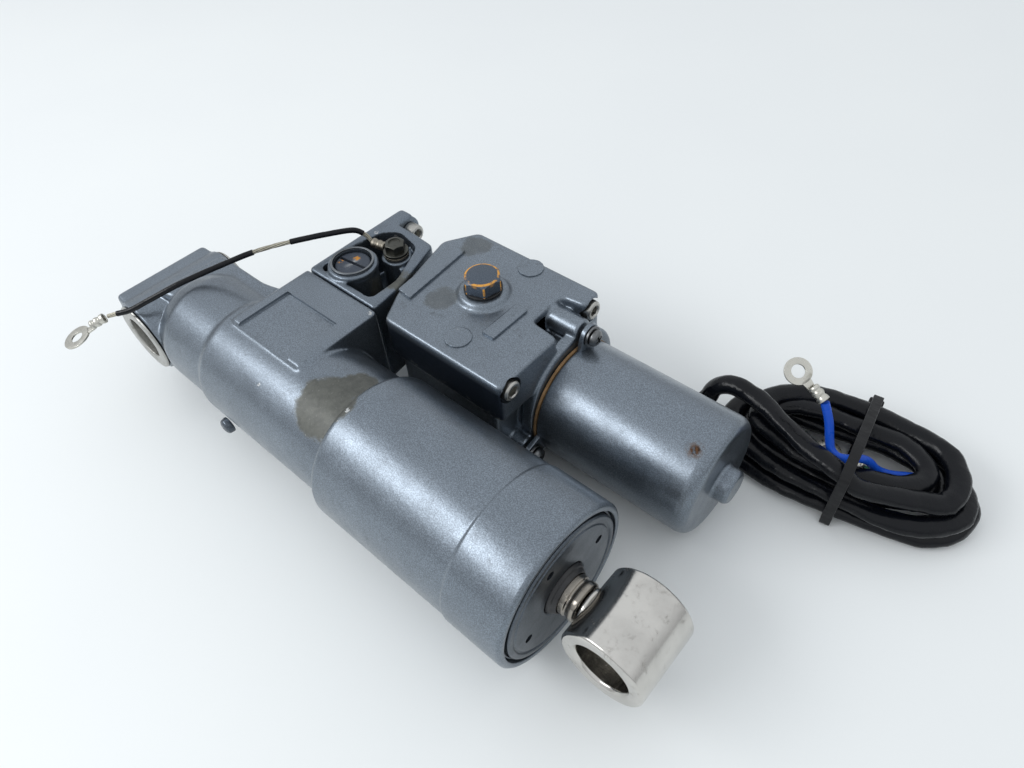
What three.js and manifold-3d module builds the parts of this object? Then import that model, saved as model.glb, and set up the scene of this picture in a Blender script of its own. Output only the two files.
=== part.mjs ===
// Power trim-and-tilt unit: hydraulic cylinder, manifold, gear pump housing, electric motor and leads.
// Millimetres, +Z up. X runs along the cylinder towards the rod eye, Y from the cylinder to the motor.
import * as THREE from "three";
import { mergeVertices, toCreasedNormals } from "three/addons/utils/BufferGeometryUtils.js";
import Module from "manifold-3d";

const wasm = await Module();
wasm.setup();

// ---- driving dimensions -------------------------------------------------------------------------
const CENTRE_X = -121.3; // middle of the rigid unit in working coordinates
const CENTRE_Y = 42.488;
const GAP = 0.3; // clearance between touching pieces

const COLLAR_R = 38.2;
const CYL_Z = COLLAR_R; // the collar rests on the table
const BARREL_R = 37.5;
const NECK_R = 33;
const TAIL_R = 31;
const BARREL_START = -112.6;
const COLLAR_START = -31.2;
const RIM_X = -1.2; // end face of the collar
const BORE_R = 26.4;
const BORE_END = -216;
const CAP_R = 33.4;
const ROD_R = 9;
const DETAIL = 0.5; // share of the nominal facet count kept on round bodies
const STROKE_CLEAR = 0.35; // radial play of pistons in the bore

const EYE_X = 29;
const EYE_R = 18.4;
const EYE_HALF = 17.5;
const EYE_BORE_R = 11.7;

const LUG_X = -269;
const LUG_R = 21;
const LUG_HALF = 29;
const LUG_BORE_R = 14.2;
const BUSH_R = 12;

const BLOCK_TOP = 73;
const BLOCK_X0 = -202;
const BLOCK_X1 = -148;
const SPLIT_Y = 42; // joint face between the cylinder casting and the valve body

const MOTOR_Y = 87.6;
const MOTOR_Z = 30.4;
const MOTOR_R = 30;
const MOTOR_END = 18.2;
const FLANGE_X = -65.8;
const PUMP_TOP = 74;

const VALVE = { x: -184, y: 57.5, top: 75.5 };
const EARTH_BOLT = { x: -177, y: 80.5 };
const PLUG = { x: -115, y: 81.8 };
const SCREW_CIRCLE = 36.4;
const SCREW_ANGLES = [75.6, -36, 196];
const PUMP_SCREWS = [
  { name: "pump_screw_near", x: -72.5, y: 47, z: 67 },
  { name: "pump_screw_far", x: -76, y: 110.5, z: 66.5 },
];

// ---- finishes -----------------------------------------------------------------------------------
const finish = (color, roughness, metalness) => ({ color, roughness, metalness });
const PAINT = finish(0x3d4653, 0.42, 0.55);
const PAINT_DARK = finish(0x343c48, 0.45, 0.5);
const STEEL = finish(0xb9bab8, 0.3, 1);
const STAINLESS = finish(0xa6a59f, 0.42, 1);
const CHROME = finish(0xc9cccf, 0.12, 1);
const DARK_STEEL = finish(0x4a4744, 0.5, 0.9);
const RUBBER = finish(0x141416, 0.7, 0);
const VINYL = finish(0x17181a, 0.42, 0);
const GASKET = finish(0x5b4226, 0.85, 0.1);
const COPPER = finish(0xa8683c, 0.4, 1);
const BRONZE = finish(0x9a7b45, 0.45, 0.9);
const FERRITE = finish(0x2b2b2d, 0.7, 0.1);
const BLUE = finish(0x1747b8, 0.38, 0);
const GREEN = finish(0x1c6a4a, 0.4, 0);
const TIN = finish(0xc4c2b8, 0.35, 1);

// ---- solid helpers ------------------------------------------------------------------------------
function solid(geometry) {
  const flat = geometry.index ? geometry.toNonIndexed() : geometry.clone();
  const bare = new THREE.BufferGeometry().setAttribute("position", flat.getAttribute("position"));
  const merged = mergeVertices(bare, 1e-4);
  const build = (index) =>
    new wasm.Manifold(
      new wasm.Mesh({ numProp: 3, vertProperties: merged.attributes.position.array, triVerts: index }),
    );
  const index = new Uint32Array(merged.index.array);
  const body = build(index);
  if (body.volume() > 0) return body;
  for (let i = 0; i < index.length; i += 3) [index[i + 1], index[i + 2]] = [index[i + 2], index[i + 1]];
  return build(index);
}

function join(first, ...rest) {
  return rest.reduce((sum, body) => sum.add(body), first);
}

function cut(first, ...rest) {
  return rest.reduce((sum, body) => sum.subtract(body), first);
}

function geometryOf(body) {
  const mesh = body.getMesh();
  const positions = new Float32Array(mesh.numVert * 3);
  for (let i = 0; i < mesh.numVert; i++) {
    positions.set(mesh.vertProperties.subarray(i * mesh.numProp, i * mesh.numProp + 3), i * 3);
  }
  const geometry = new THREE.BufferGeometry();
  geometry.setAttribute("position", new THREE.BufferAttribute(positions, 3));
  geometry.setIndex(new THREE.BufferAttribute(new Uint32Array(mesh.triVerts), 1));
  return toCreasedNormals(geometry.toNonIndexed(), Math.PI / 7);
}

// Turned body. profile: [axial position, radius] pairs; axis "x", "y" or "z".
function turned(profile, axis = "x", segments = 40, [a = 0, b = 0, c = 0] = []) {
  const geometry = new THREE.LatheGeometry(
    profile.map(([along, radius]) => new THREE.Vector2(radius, along)),
    segments > 6 ? Math.max(9, Math.round(segments * DETAIL)) : segments,
  );
  if (axis === "x") geometry.rotateZ(-Math.PI / 2);
  if (axis === "z") geometry.rotateX(Math.PI / 2);
  geometry.translate(a, b, c);
  return solid(geometry);
}

// Solid rod between two positions along an axis.
function rod(axis, from, to, radius, centre, segments = 32, chamfer = 0) {
  const profile = [
    [from, 0],
    [from, radius - chamfer],
    [from + chamfer, radius],
    [to - chamfer, radius],
    [to, radius - chamfer],
    [to, 0],
  ].filter((point, i, all) => i === 0 || point[0] !== all[i - 1][0] || point[1] !== all[i - 1][1]);
  return turned(profile, axis, segments, centre);
}

function ring(axis, from, to, inner, outer, centre, segments = 32) {
  const profile = [
    [from, inner],
    [from, outer],
    [to, outer],
    [to, inner],
    [from, inner],
  ];
  return turned(profile, axis, segments, centre);
}

function box(x0, x1, y0, y1, z0, z1) {
  const geometry = new THREE.BoxGeometry(x1 - x0, y1 - y0, z1 - z0);
  geometry.translate((x0 + x1) / 2, (y0 + y1) / 2, (z0 + z1) / 2);
  return solid(geometry);
}

// Corners of a plan moved inwards by a distance, each edge staying parallel to itself.
function insetPlan(points, distance) {
  const area = THREE.ShapeUtils.area(points);
  return points.map((corner, i) => {
    const before = points[(i + points.length - 1) % points.length];
    const after = points[(i + 1) % points.length];
    const a = corner.clone().sub(before).normalize();
    const b = after.clone().sub(corner).normalize();
    const side = Math.sign(area);
    const na = new THREE.Vector2(-a.y, a.x).multiplyScalar(side);
    const nb = new THREE.Vector2(-b.y, b.x).multiplyScalar(side);
    const mitre = na.clone().add(nb);
    return corner.clone().add(mitre.multiplyScalar(distance / (1 + na.dot(nb))));
  });
}

function roundedPlan(points, radius, segments = 2) {
  return points.flatMap((corner, i) => {
    const before = points[(i + points.length - 1) % points.length];
    const after = points[(i + 1) % points.length];
    const start = corner.clone().add(before.clone().sub(corner).setLength(radius));
    const end = corner.clone().add(after.clone().sub(corner).setLength(radius));
    return new THREE.QuadraticBezierCurve(start, corner, end).getPoints(segments);
  });
}

// Upright slab from plan corners, with rounded plan corners and rounded top and bottom edges.
function slab(corners, z0, z1, cornerRadius, edge, steps = 2) {
  const plan = corners.map(([x, y]) => new THREE.Vector2(x, y));
  if (THREE.ShapeUtils.area(plan) < 0) plan.reverse();
  const levels = [];
  for (let i = 0; i <= steps; i++) {
    const t = (i / steps) * (Math.PI / 2);
    levels.push([z0 + edge * (1 - Math.cos(t)), edge * (1 - Math.sin(t))]);
  }
  for (let i = steps; i >= 0; i--) {
    const t = (i / steps) * (Math.PI / 2);
    levels.push([z1 - edge * (1 - Math.cos(t)), edge * (1 - Math.sin(t))]);
  }
  const loops = levels.map(([z, inset]) =>
    roundedPlan(insetPlan(plan, inset), Math.max(cornerRadius - inset * 0.5, 0.2)).map(
      (p) => new THREE.Vector3(p.x, p.y, z),
    ),
  );
  const count = loops[0].length;
  const positions = [];
  const push = (...vertices) => vertices.forEach((v) => positions.push(v.x, v.y, v.z));
  for (let level = 0; level + 1 < loops.length; level++) {
    for (let i = 0; i < count; i++) {
      const k = (i + 1) % count;
      push(loops[level][i], loops[level][k], loops[level + 1][k]);
      push(loops[level][i], loops[level + 1][k], loops[level + 1][i]);
    }
  }
  const cap = (loop, up) => {
    const flat = loop.map((v) => new THREE.Vector2(v.x, v.y));
    for (const [a, b, c] of THREE.ShapeUtils.triangulateShape(flat, [])) {
      if (up) push(loop[a], loop[b], loop[c]);
      else push(loop[a], loop[c], loop[b]);
    }
  };
  cap(loops[0], false);
  cap(loops[loops.length - 1], true);
  const geometry = new THREE.BufferGeometry();
  geometry.setAttribute("position", new THREE.Float32BufferAttribute(positions, 3));
  return solid(geometry);
}

function tube(points, radius, steps, sides = 8) {
  const path = new THREE.CatmullRomCurve3(points.map((p) => new THREE.Vector3(...p)));
  const shape = new THREE.Shape();
  for (let i = 0; i < sides; i++) {
    const angle = (i * 2 * Math.PI) / sides;
    const point = [radius * Math.cos(angle), radius * Math.sin(angle)];
    if (i === 0) shape.moveTo(...point);
    else shape.lineTo(...point);
  }
  shape.closePath();
  return solid(new THREE.ExtrudeGeometry(shape, { steps, bevelEnabled: false, extrudePath: path }));
}

function moved(body, x, y, z) {
  return body.translate([x, y, z]);
}

const root = new THREE.Group();
root.name = "trim_and_tilt_unit";
const placed = new THREE.Group();
placed.position.set(-CENTRE_X, -CENTRE_Y, 0);
root.add(placed);

function add(name, body, look) {
  const mesh = new THREE.Mesh(geometryOf(body), new THREE.MeshStandardMaterial(look));
  mesh.name = name;
  placed.add(mesh);
  return mesh;
}

const CYL_AXIS = [0, 0, CYL_Z];
const MOTOR_AXIS = [0, MOTOR_Y, MOTOR_Z];
const polar = (angle, radius) => {
  const a = (angle * Math.PI) / 180;
  return [MOTOR_Y + radius * Math.cos(a), MOTOR_Z + radius * Math.sin(a)];
};

// ---- cylinder casting ---------------------------------------------------------------------------
function shoulder(x, rLow, rHigh, steps = 3) {
  const depth = rHigh - rLow;
  return Array.from({ length: steps + 1 }, (_, i) => {
    const t = (i / steps) * (Math.PI / 2);
    return [x + depth * (1 - Math.cos(t)), rLow + depth * Math.sin(t)];
  });
}

const castingShell = turned(
  [
    [-262, 0],
    [-262, 15],
    [-258, 23],
    [-251, 28.5],
    [-242, TAIL_R],
    [-209, TAIL_R],
    [-206.5, NECK_R],
    [BARREL_START - 2, NECK_R],
    ...shoulder(BARREL_START - 1, NECK_R + 0.6, BARREL_R),
    [COLLAR_START - 1, BARREL_R],
    [COLLAR_START, COLLAR_R],
    [RIM_X - 1, COLLAR_R],
    [RIM_X, COLLAR_R - 1],
    [RIM_X, CAP_R + 1.3],
    [-7, CAP_R + 1.3],
    [-7, BORE_R],
    [BORE_END, BORE_R],
    [BORE_END, 0],
  ],
  "x",
  52,
  CYL_AXIS,
);
const boreSpace = rod("x", BORE_END, 4, BORE_R, CYL_AXIS, 52);
const lug = rod("y", -LUG_HALF, LUG_HALF, LUG_R, [LUG_X, 0, CYL_Z], 40, 1.2);
const lugPad = slab(
  [
    [LUG_X - 20.5, -LUG_HALF + 1],
    [LUG_X - 2, -LUG_HALF + 1],
    [LUG_X - 2, LUG_HALF - 1],
    [LUG_X - 20.5, LUG_HALF - 1],
  ],
  CYL_Z - 6,
  CYL_Z + 18.5,
  3,
  2.5,
);
const tailWeb = slab(
  [
    [LUG_X + 2, -14],
    [LUG_X + 4, 27],
    [-225, 27],
    [-198, 34],
    [-198, 0],
    [-230, -4],
  ],
  CYL_Z - 12,
  CYL_Z + 24,
  4,
  2.5,
);
const blockEdge = 5;
const block = slab(
  [
    [BLOCK_X0, -6],
    [BLOCK_X1, -6],
    [BLOCK_X1, SPLIT_Y - GAP],
    [BLOCK_X0, SPLIT_Y - GAP],
  ],
  24,
  BLOCK_TOP,
  2,
  blockEdge,
);
const blockFill = box(BLOCK_X0 + 0.4, BLOCK_X1 - 5, 8, SPLIT_Y - GAP, 26, BLOCK_TOP - 0.01);
const panelPocket = box(-195.5, -157, -16, 24, BLOCK_TOP - 1.6, BLOCK_TOP + 6);
const lugBore = rod("y", -40, 40, LUG_BORE_R, [LUG_X, 0, CYL_Z], 36);
const feedPort = rod("y", 20, 50, 4, [-170, 0, CYL_Z + 12], 16);
add(
  "cylinder_casting",
  cut(join(castingShell, lug, lugPad, tailWeb, block, blockFill), boreSpace, panelPocket, lugBore, feedPort),
  PAINT,
);

for (const side of [-1, 1]) {
  const outer = LUG_HALF + 1;
  const sleeve = [
    [2, BUSH_R],
    [2, LUG_BORE_R - GAP],
    [LUG_HALF + GAP, LUG_BORE_R - GAP],
    [LUG_HALF + GAP, LUG_R - 1.2],
    [outer + 0.6, LUG_R - 1.8],
    [outer + 0.6, BUSH_R],
    [2, BUSH_R],
  ].map(([y, r]) => [side * y, r]);
  add(side < 0 ? "lug_bush_near" : "lug_bush_far", turned(sleeve, "y", 36, [LUG_X, 0, CYL_Z]), STAINLESS);
}

add(
  "neck_plug",
  turned(
    [
      [-(NECK_R + 5), 0],
      [-(NECK_R + 5), 2.6],
      [-(NECK_R + 4), 4.2],
      [-(NECK_R + 0.6), 4.6],
      [-(NECK_R + 0.6), 0],
    ],
    "y",
    20,
    [-196, 3, CYL_Z - 17.5],
  ),
  RUBBER,
);

// ---- end cap, rod, eye and pistons --------------------------------------------------------------
const capBody = turned(
  [
    [-24, ROD_R + 0.4],
    [-24, BORE_R - GAP - 1],
    [-23, BORE_R - GAP],
    [-16.5, BORE_R - GAP],
    [-16.5, BORE_R - 3],
    [-12.5, BORE_R - 3],
    [-12.5, BORE_R - GAP],
    [-6.6, BORE_R - GAP],
    [-6.6, CAP_R],
    [-1.6, CAP_R],
    [-0.8, CAP_R - 0.8],
    [-0.8, 14.6],
    [-5, 14.6],
    [-5, ROD_R + 0.4],
    [-24, ROD_R + 0.4],
  ],
  "x",
  44,
  CYL_AXIS,
);
const spannerHoles = [20, 110, 200, 290].map((angle) => {
  const a = (angle * Math.PI) / 180;
  return rod("x", -6, 4, 2.3, [0, 23.5 * Math.cos(a), CYL_Z + 23.5 * Math.sin(a)], 14);
});
add("end_cap", cut(capBody, ...spannerHoles), PAINT_DARK);
add("cap_o_ring", ring("x", -16.1, -12.9, BORE_R - 2.6, BORE_R - 0.25, CYL_AXIS, 40), RUBBER);
add("cap_lock_ring", ring("x", -6.5, RIM_X - 1.4, CAP_R + GAP, CAP_R + 1.05, CYL_AXIS, 44), RUBBER);
add(
  "rod_wiper",
  turned(
    [
      [-4.6, ROD_R + GAP],
      [-4.6, 14.2],
      [0.4, 14.2],
      [1.4, 13],
      [1.6, 10.8],
      [2.6, 9.9],
      [2.6, ROD_R + GAP],
      [-4.6, ROD_R + GAP],
    ],
    "x",
    36,
    CYL_AXIS,
  ),
  RUBBER,
);

const PISTON_X = -190; // left face of the main piston
add(
  "piston_rod",
  turned(
    [
      [PISTON_X - 9, 0],
      [PISTON_X - 9, 4.6],
      [PISTON_X - 8.4, 5.2],
      [-172.8, 5.2],
      [-172.8, ROD_R],
      [9, ROD_R],
      [10, ROD_R - 1],
      [10, 0],
    ],
    "x",
    32,
    CYL_AXIS,
  ),
  CHROME,
);
add(
  "piston",
  turned(
    [
      [PISTON_X, 5.5],
      [PISTON_X, BORE_R - 1.4],
      [PISTON_X + 1, BORE_R - STROKE_CLEAR],
      [PISTON_X + 5, BORE_R - STROKE_CLEAR],
      [PISTON_X + 5, BORE_R - 3],
      [PISTON_X + 10, BORE_R - 3],
      [PISTON_X + 10, BORE_R - STROKE_CLEAR],
      [PISTON_X + 16, BORE_R - STROKE_CLEAR],
      [-173.2, BORE_R - 1.4],
      [-173.2, 5.5],
      [PISTON_X, 5.5],
    ],
    "x",
    40,
    CYL_AXIS,
  ),
  STAINLESS,
);
add("piston_ring", ring("x", PISTON_X + 5.4, PISTON_X + 9.6, BORE_R - 2.6, BORE_R - 0.2, CYL_AXIS, 40), RUBBER);
const nutBody = rod("x", PISTON_X - 7, PISTON_X - GAP, 10, CYL_AXIS, 6);
add("rod_nut", cut(nutBody, rod("x", -210, -180, 5.5, CYL_AXIS, 20)), DARK_STEEL);
add(
  "free_piston",
  turned(
    [
      [-214, 0],
      [-214, BORE_R - 1.2],
      [-213, BORE_R - STROKE_CLEAR],
      [-206, BORE_R - STROKE_CLEAR],
      [-205, BORE_R - 1.2],
      [-205, 12],
      [-209, 12],
      [-209, 0],
    ],
    "x",
    40,
    CYL_AXIS,
  ),
  BRONZE,
);

const eyeShell = turned(
  [
    [-EYE_HALF, EYE_BORE_R + 0.8],
    [-EYE_HALF, EYE_R - 1.1],
    [-EYE_HALF + 1.1, EYE_R],
    [EYE_HALF - 1.1, EYE_R],
    [EYE_HALF, EYE_R - 1.1],
    [EYE_HALF, EYE_BORE_R + 0.8],
    [EYE_HALF - 0.8, EYE_BORE_R],
    [-EYE_HALF + 0.8, EYE_BORE_R],
    [-EYE_HALF, EYE_BORE_R + 0.8],
  ],
  "y",
  48,
  [0, 0, 0],
);
const eyeStub = cut(
  rod("x", 10.4 - EYE_X, -13, 8.4, [0, 0, 0], 28, 0.8),
  rod("y", -40, 40, EYE_BORE_R + 1, [0, 0, 0], 32),
);
add("rod_eye", moved(join(eyeShell, eyeStub), EYE_X, 0, CYL_Z), STEEL);

// ---- valve body, manual release valve and earth bolt --------------------------------------------
const valveOuter = slab(
  [
    [BLOCK_X0, SPLIT_Y],
    [-151, SPLIT_Y],
    [-153, 62],
    [-163.5, 95],
    [-178, 96.5],
    [-192, 97],
    [-192, 108],
    [BLOCK_X0, 108],
  ],
  22,
  BLOCK_TOP,
  2.5,
  2,
);
const valvePocket = slab(
  [
    [-197, 46],
    [-158, 46],
    [-158, 64],
    [-169, 88],
    [-186, 92],
    [-194, 86],
    [-197, 70],
  ],
  48,
  BLOCK_TOP + 12,
  4,
  1,
);
const valveBoss = turned(
  [
    [30, 0],
    [30, 12.2],
    [VALVE.top - 4, 12.2],
    [VALVE.top - 3, 13.2],
    [VALVE.top - 0.8, 13.2],
    [VALVE.top, 12.4],
    [VALVE.top, 0],
  ],
  "z",
  32,
  [VALVE.x, VALVE.y, 0],
);
const boltPad = rod("z", 30, 69, 8.5, [EARTH_BOLT.x, EARTH_BOLT.y, 0], 24, 1);
const farLobe = rod("x", BLOCK_X0 + 0.4, -192, 8.5, [0, 102.6, 64.2], 24, 1);
const valveBore = rod("z", 52, 90, 10, [VALVE.x, VALVE.y, 0], 32);
const boltBore = rod("z", 55, 90, 3.3, [EARTH_BOLT.x, EARTH_BOLT.y, 0], 20);
const shuttleBore = rod("x", -230, -152, 6.5, [0, 76, 34], 24);
const lobeBore = rod("x", -220, -180, 3.3, [0, 103, 65], 18);
add(
  "valve_body",
  cut(
    join(cut(valveOuter, valvePocket), valveBoss, boltPad, farLobe),
    valveBore,
    boltBore,
    shuttleBore,
    lobeBore,
  ),
  PAINT_DARK,
);
add("shuttle_piston", rod("x", -190, -160, 6.1, [0, 76, 34], 24, 0.8), STAINLESS);

const valveSlot = box(-8.5, 8.5, -0.9, 0.9, VALVE.top - 2.2, VALVE.top + 2).rotate([0, 0, 7]);
add(
  "release_valve_screw",
  cut(
    turned(
      [
        [54, 0],
        [54, 6],
        [60, 9],
        [66, 9.6],
        [VALVE.top - 1, 9.6],
        [VALVE.top - 0.4, 9],
        [VALVE.top - 0.4, 0],
      ],
      "z",
      32,
      [VALVE.x, VALVE.y, 0],
    ),
    moved(valveSlot, VALVE.x, VALVE.y, 0),
  ),
  PAINT_DARK,
);
const clipSeat = VALVE.top + GAP;
add("valve_circlip", ring("z", clipSeat, clipSeat + 1, 10, 11.4, [VALVE.x, VALVE.y, 0], 32), STAINLESS);

const boltTop = 69 + GAP;
add(
  "earth_bolt",
  join(
    rod("z", 57, boltTop + 4, 3, [EARTH_BOLT.x, EARTH_BOLT.y, 0], 20),
    rod("z", boltTop + 1.7, boltTop + 3.2, 6.8, [EARTH_BOLT.x, EARTH_BOLT.y, 0], 28, 0.3),
    rod("z", boltTop + 3, boltTop + 8, 5.6, [EARTH_BOLT.x, EARTH_BOLT.y, 0], 6),
  ),
  DARK_STEEL,
);

// Socket-head cap screw along +X: the head starts at x, the shank runs back from it.
function capScrew(x, y, z, shank) {
  const body = join(rod("x", x - shank, x + 1, 3, [0, y, z], 20), rod("x", x, x + 6.5, 5, [0, y, z], 28, 0.5));
  return cut(body, rod("x", x + 3.2, x + 9, 2.9, [0, y, z], 6));
}
add("valve_screw_far", capScrew(-191.7, 103, 65, 9), STAINLESS);

// ---- pump housing -------------------------------------------------------------------------------
const coverPlan = [
  [-141, 39.6],
  [-67.5, 39.6],
  [-67.5, 80],
  [-84, 82],
  [-84, 103],
  [-71, 104.5],
  [-71, 116.8],
  [-150.6, 117],
  [-161.6, 99.5],
  [-150.4, 57],
];
const cover = slab(coverPlan, 50, PUMP_TOP, 3, 3.6);
const midBody = slab(
  [
    [-141, 60],
    [-73, 60],
    [-73, 115],
    [-146, 115],
  ],
  28,
  56,
  3,
  1,
);
const belly = slab(
  [
    [-139, 43],
    [-75, 43],
    [-75, 66],
    [-139, 66],
  ],
  14,
  54,
  3,
  2,
);
const pumpBarrel = rod("x", -146, FLANGE_X, 30.2, MOTOR_AXIS, 48);
const flangeLobe = rod("x", -72, FLANGE_X, 32.6, [0, 89, 33.2], 44, 0.8);
const screwBoss = rod("x", -89, FLANGE_X, 6.2, [0, ...polar(SCREW_ANGLES[0], SCREW_CIRCLE)], 28, 1);
const hiddenBosses = SCREW_ANGLES.slice(1).map((angle) =>
  rod("x", -82, FLANGE_X, 5.6, [0, ...polar(angle, SCREW_CIRCLE - 1.2)], 20),
);
const raisedBars = [
  [
    [-97, 60.5],
    [-89.5, 60.5],
    [-89.5, 85],
    [-97, 85],
  ],
  [
    [-150, 57.5],
    [-140.3, 56.4],
    [-144.3, 100],
    [-154, 100],
  ],
].map((plan) => slab(plan, PUMP_TOP - 2, PUMP_TOP + 1.4, 1, 0.5, 1));
const pads = [
  [-103.6, 52],
  [-109, 110],
].map(([x, y]) => rod("z", PUMP_TOP - 3, PUMP_TOP + 0.8, 6.7, [x, y, 0], 28, 0.2));
const plugBoss = turned(
  [
    [60, 0],
    [60, 13.4],
    [PUMP_TOP + 0.4, 13.4],
    [PUMP_TOP + 2.6, 12],
    [PUMP_TOP + 3.2, 11.2],
    [PUMP_TOP + 3.2, 0],
  ],
  "z",
  32,
  [PLUG.x, PLUG.y, 0],
);
const gearCavity = rod("x", -112, -60, 24.5, MOTOR_AXIS, 40);
const tankPlan = [
  [-136, 66],
  [-78, 66],
  [-88, 108],
  [-138, 108],
];
const tankCavity = slab(tankPlan, 46, PUMP_TOP - 4, 3, 0.5, 1);
const tankLink = box(-136, -116, 70, 104, 20, 50);
const plugBore = rod("z", PUMP_TOP - 12, PUMP_TOP + 12, 5.4, [PLUG.x, PLUG.y, 0], 24);
const headPockets = PUMP_SCREWS.map(({ x, y, z }) => rod("x", x - GAP, x + 24, 6.4, [0, y, z], 28));
const shankBores = PUMP_SCREWS.map(({ x, y, z }) => rod("x", x - 34, x + 2, 3.3, [0, y, z], 20));
const motorScrewBores = SCREW_ANGLES.map((angle) =>
  rod("x", -80, -60, 2.3, [0, ...polar(angle, SCREW_CIRCLE)], 16),
);
add(
  "pump_housing",
  cut(
    join(cover, midBody, belly, pumpBarrel, flangeLobe, screwBoss, ...hiddenBosses, ...raisedBars, ...pads, plugBoss),
    gearCavity,
    tankCavity,
    tankLink,
    plugBore,
    ...headPockets,
    ...shankBores,
    ...motorScrewBores,
  ),
  PAINT,
);
for (const { name, x, y, z } of PUMP_SCREWS) add(name, capScrew(x, y, z, 30), STAINLESS);

const plugBase = PUMP_TOP + 3.2 + GAP;
add("plug_seal", ring("z", plugBase, plugBase + 1, 5.8, 9.6, [PLUG.x, PLUG.y, 0], 28), RUBBER);
const plugHead = plugBase + 1 + GAP;
const hexHead = rod("z", plugHead, plugHead + 7, 9.9, [0, 0, 0], 6).rotate([0, 0, 17]);
const hexDome = turned(
  [
    [plugHead - 2, 0],
    [plugHead - 2, 12],
    [plugHead + 5.2, 10.4],
    [plugHead + 7, 8],
    [plugHead + 7, 0],
  ],
  "z",
  36,
);
add(
  "fill_plug",
  join(
    moved(hexHead.intersect(hexDome), PLUG.x, PLUG.y, 0),
    rod("z", plugHead - 10, plugHead + 1, 5, [PLUG.x, PLUG.y, 0], 24, 0.6),
  ),
  PAINT_DARK,
);

// ---- gear pump ----------------------------------------------------------------------------------
const GEAR_SPACING = 15.4;
function gear(centreZ, phase) {
  const teeth = 10;
  const shape = new THREE.Shape();
  for (let i = 0; i < teeth; i++) {
    const base = ((i + phase) * 2 * Math.PI) / teeth;
    const marks = [
      [-0.3, 6.2],
      [-0.14, 8],
      [0.14, 8],
      [0.3, 6.2],
    ];
    marks.forEach(([share, r], k) => {
      const a = base + (share * 2 * Math.PI) / teeth;
      const point = [r * Math.cos(a), r * Math.sin(a)];
      if (i === 0 && k === 0) shape.moveTo(...point);
      else shape.lineTo(...point);
    });
  }
  shape.closePath();
  const geometry = new THREE.ExtrudeGeometry(shape, { depth: 10, bevelEnabled: false });
  geometry.rotateY(Math.PI / 2);
  geometry.translate(-100, MOTOR_Y, centreZ);
  return solid(geometry);
}
const driveShaft = rod("x", -104, -79, 3, MOTOR_AXIS, 20);
add("drive_gear", join(gear(MOTOR_Z, 0), driveShaft), STEEL);
const idlerShaft = rod("x", -104, -86, 3, [0, MOTOR_Y, MOTOR_Z - GEAR_SPACING], 20);
add("driven_gear", join(gear(MOTOR_Z - GEAR_SPACING, 0.5), idlerShaft), STEEL);
const gearPockets = [0, GEAR_SPACING].map((drop) =>
  rod("x", -100.4, -89.6, 8.4, [0, MOTOR_Y, MOTOR_Z - drop], 32),
);
const shaftHoles = [0, GEAR_SPACING].map((drop) =>
  rod("x", -120, -70, 3.4, [0, MOTOR_Y, MOTOR_Z - drop], 20),
);
add(
  "gear_block",
  cut(rod("x", -106, -84, 24.1, MOTOR_AXIS, 40, 0.6), ...gearPockets, ...shaftHoles),
  STAINLESS,
);
add(
  "drive_coupling",
  cut(
    rod("x", -82.5, -74, 6, MOTOR_AXIS, 24, 0.6),
    rod("x", -90, -79 + GAP, 3.3, MOTOR_AXIS, 20),
    rod("x", -77, -70, 4.3, MOTOR_AXIS, 20),
  ),
  DARK_STEEL,
);

// ---- motor --------------------------------------------------------------------------------------
const gasketNotches = SCREW_ANGLES.map((angle) =>
  rod("x", -70, -60, 4.2, [0, ...polar(angle, SCREW_CIRCLE)], 12),
);
add(
  "motor_gasket",
  cut(ring("x", FLANGE_X + GAP, FLANGE_X + 1.6, 25, MOTOR_R + 0.3, MOTOR_AXIS, 44), ...gasketNotches),
  GASKET,
);
const CAN_X = FLANGE_X + 1.6 + GAP;
const WALL = 2.2;
const canShell = turned(
  [
    [CAN_X, MOTOR_R - WALL],
    [CAN_X, MOTOR_R],
    [MOTOR_END - 4.5, MOTOR_R],
    [MOTOR_END - 2, MOTOR_R - 0.8],
    [MOTOR_END - 0.5, MOTOR_R - 2.4],
    [MOTOR_END, MOTOR_R - 4.5],
    [MOTOR_END, 8.7],
    [MOTOR_END + 6.3, 8.7],
    [MOTOR_END + 7.6, 7],
    [MOTOR_END + 7.6, 0],
    [MOTOR_END + 5, 0],
    [MOTOR_END + 5, 4.4],
    [MOTOR_END - WALL, 4.4],
    [MOTOR_END - WALL, MOTOR_R - WALL],
    [CAN_X, MOTOR_R - WALL],
  ],
  "x",
  48,
  MOTOR_AXIS,
);
const earPlate = (angle) => {
  const [y, z] = polar(angle, SCREW_CIRCLE);
  const ear = rod("x", CAN_X, CAN_X + 2.4, 6, [0, y, z], 28);
  const arm = box(CAN_X, CAN_X + 2.4, 22, SCREW_CIRCLE, -6, 6).rotate([angle, 0, 0]);
  return join(ear, moved(arm, 0, MOTOR_Y, MOTOR_Z));
};
const canSpace = rod("x", CAN_X - 5, MOTOR_END - WALL, MOTOR_R - WALL, MOTOR_AXIS, 48);
const earHoles = SCREW_ANGLES.map((angle) => rod("x", -80, -55, 2.6, [0, ...polar(angle, SCREW_CIRCLE)], 16));
const shaftSpace = rod("x", 0, MOTOR_END + 5, 4.4, MOTOR_AXIS, 24);
const wireHole = rod("y", MOTOR_Y + 20, MOTOR_Y + 40, 5.6, [-52, 0, 24], 20);
add(
  "motor_can",
  cut(join(canShell, ...SCREW_ANGLES.map(earPlate)), canSpace, shaftSpace, wireHole, ...earHoles),
  PAINT,
);
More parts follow.
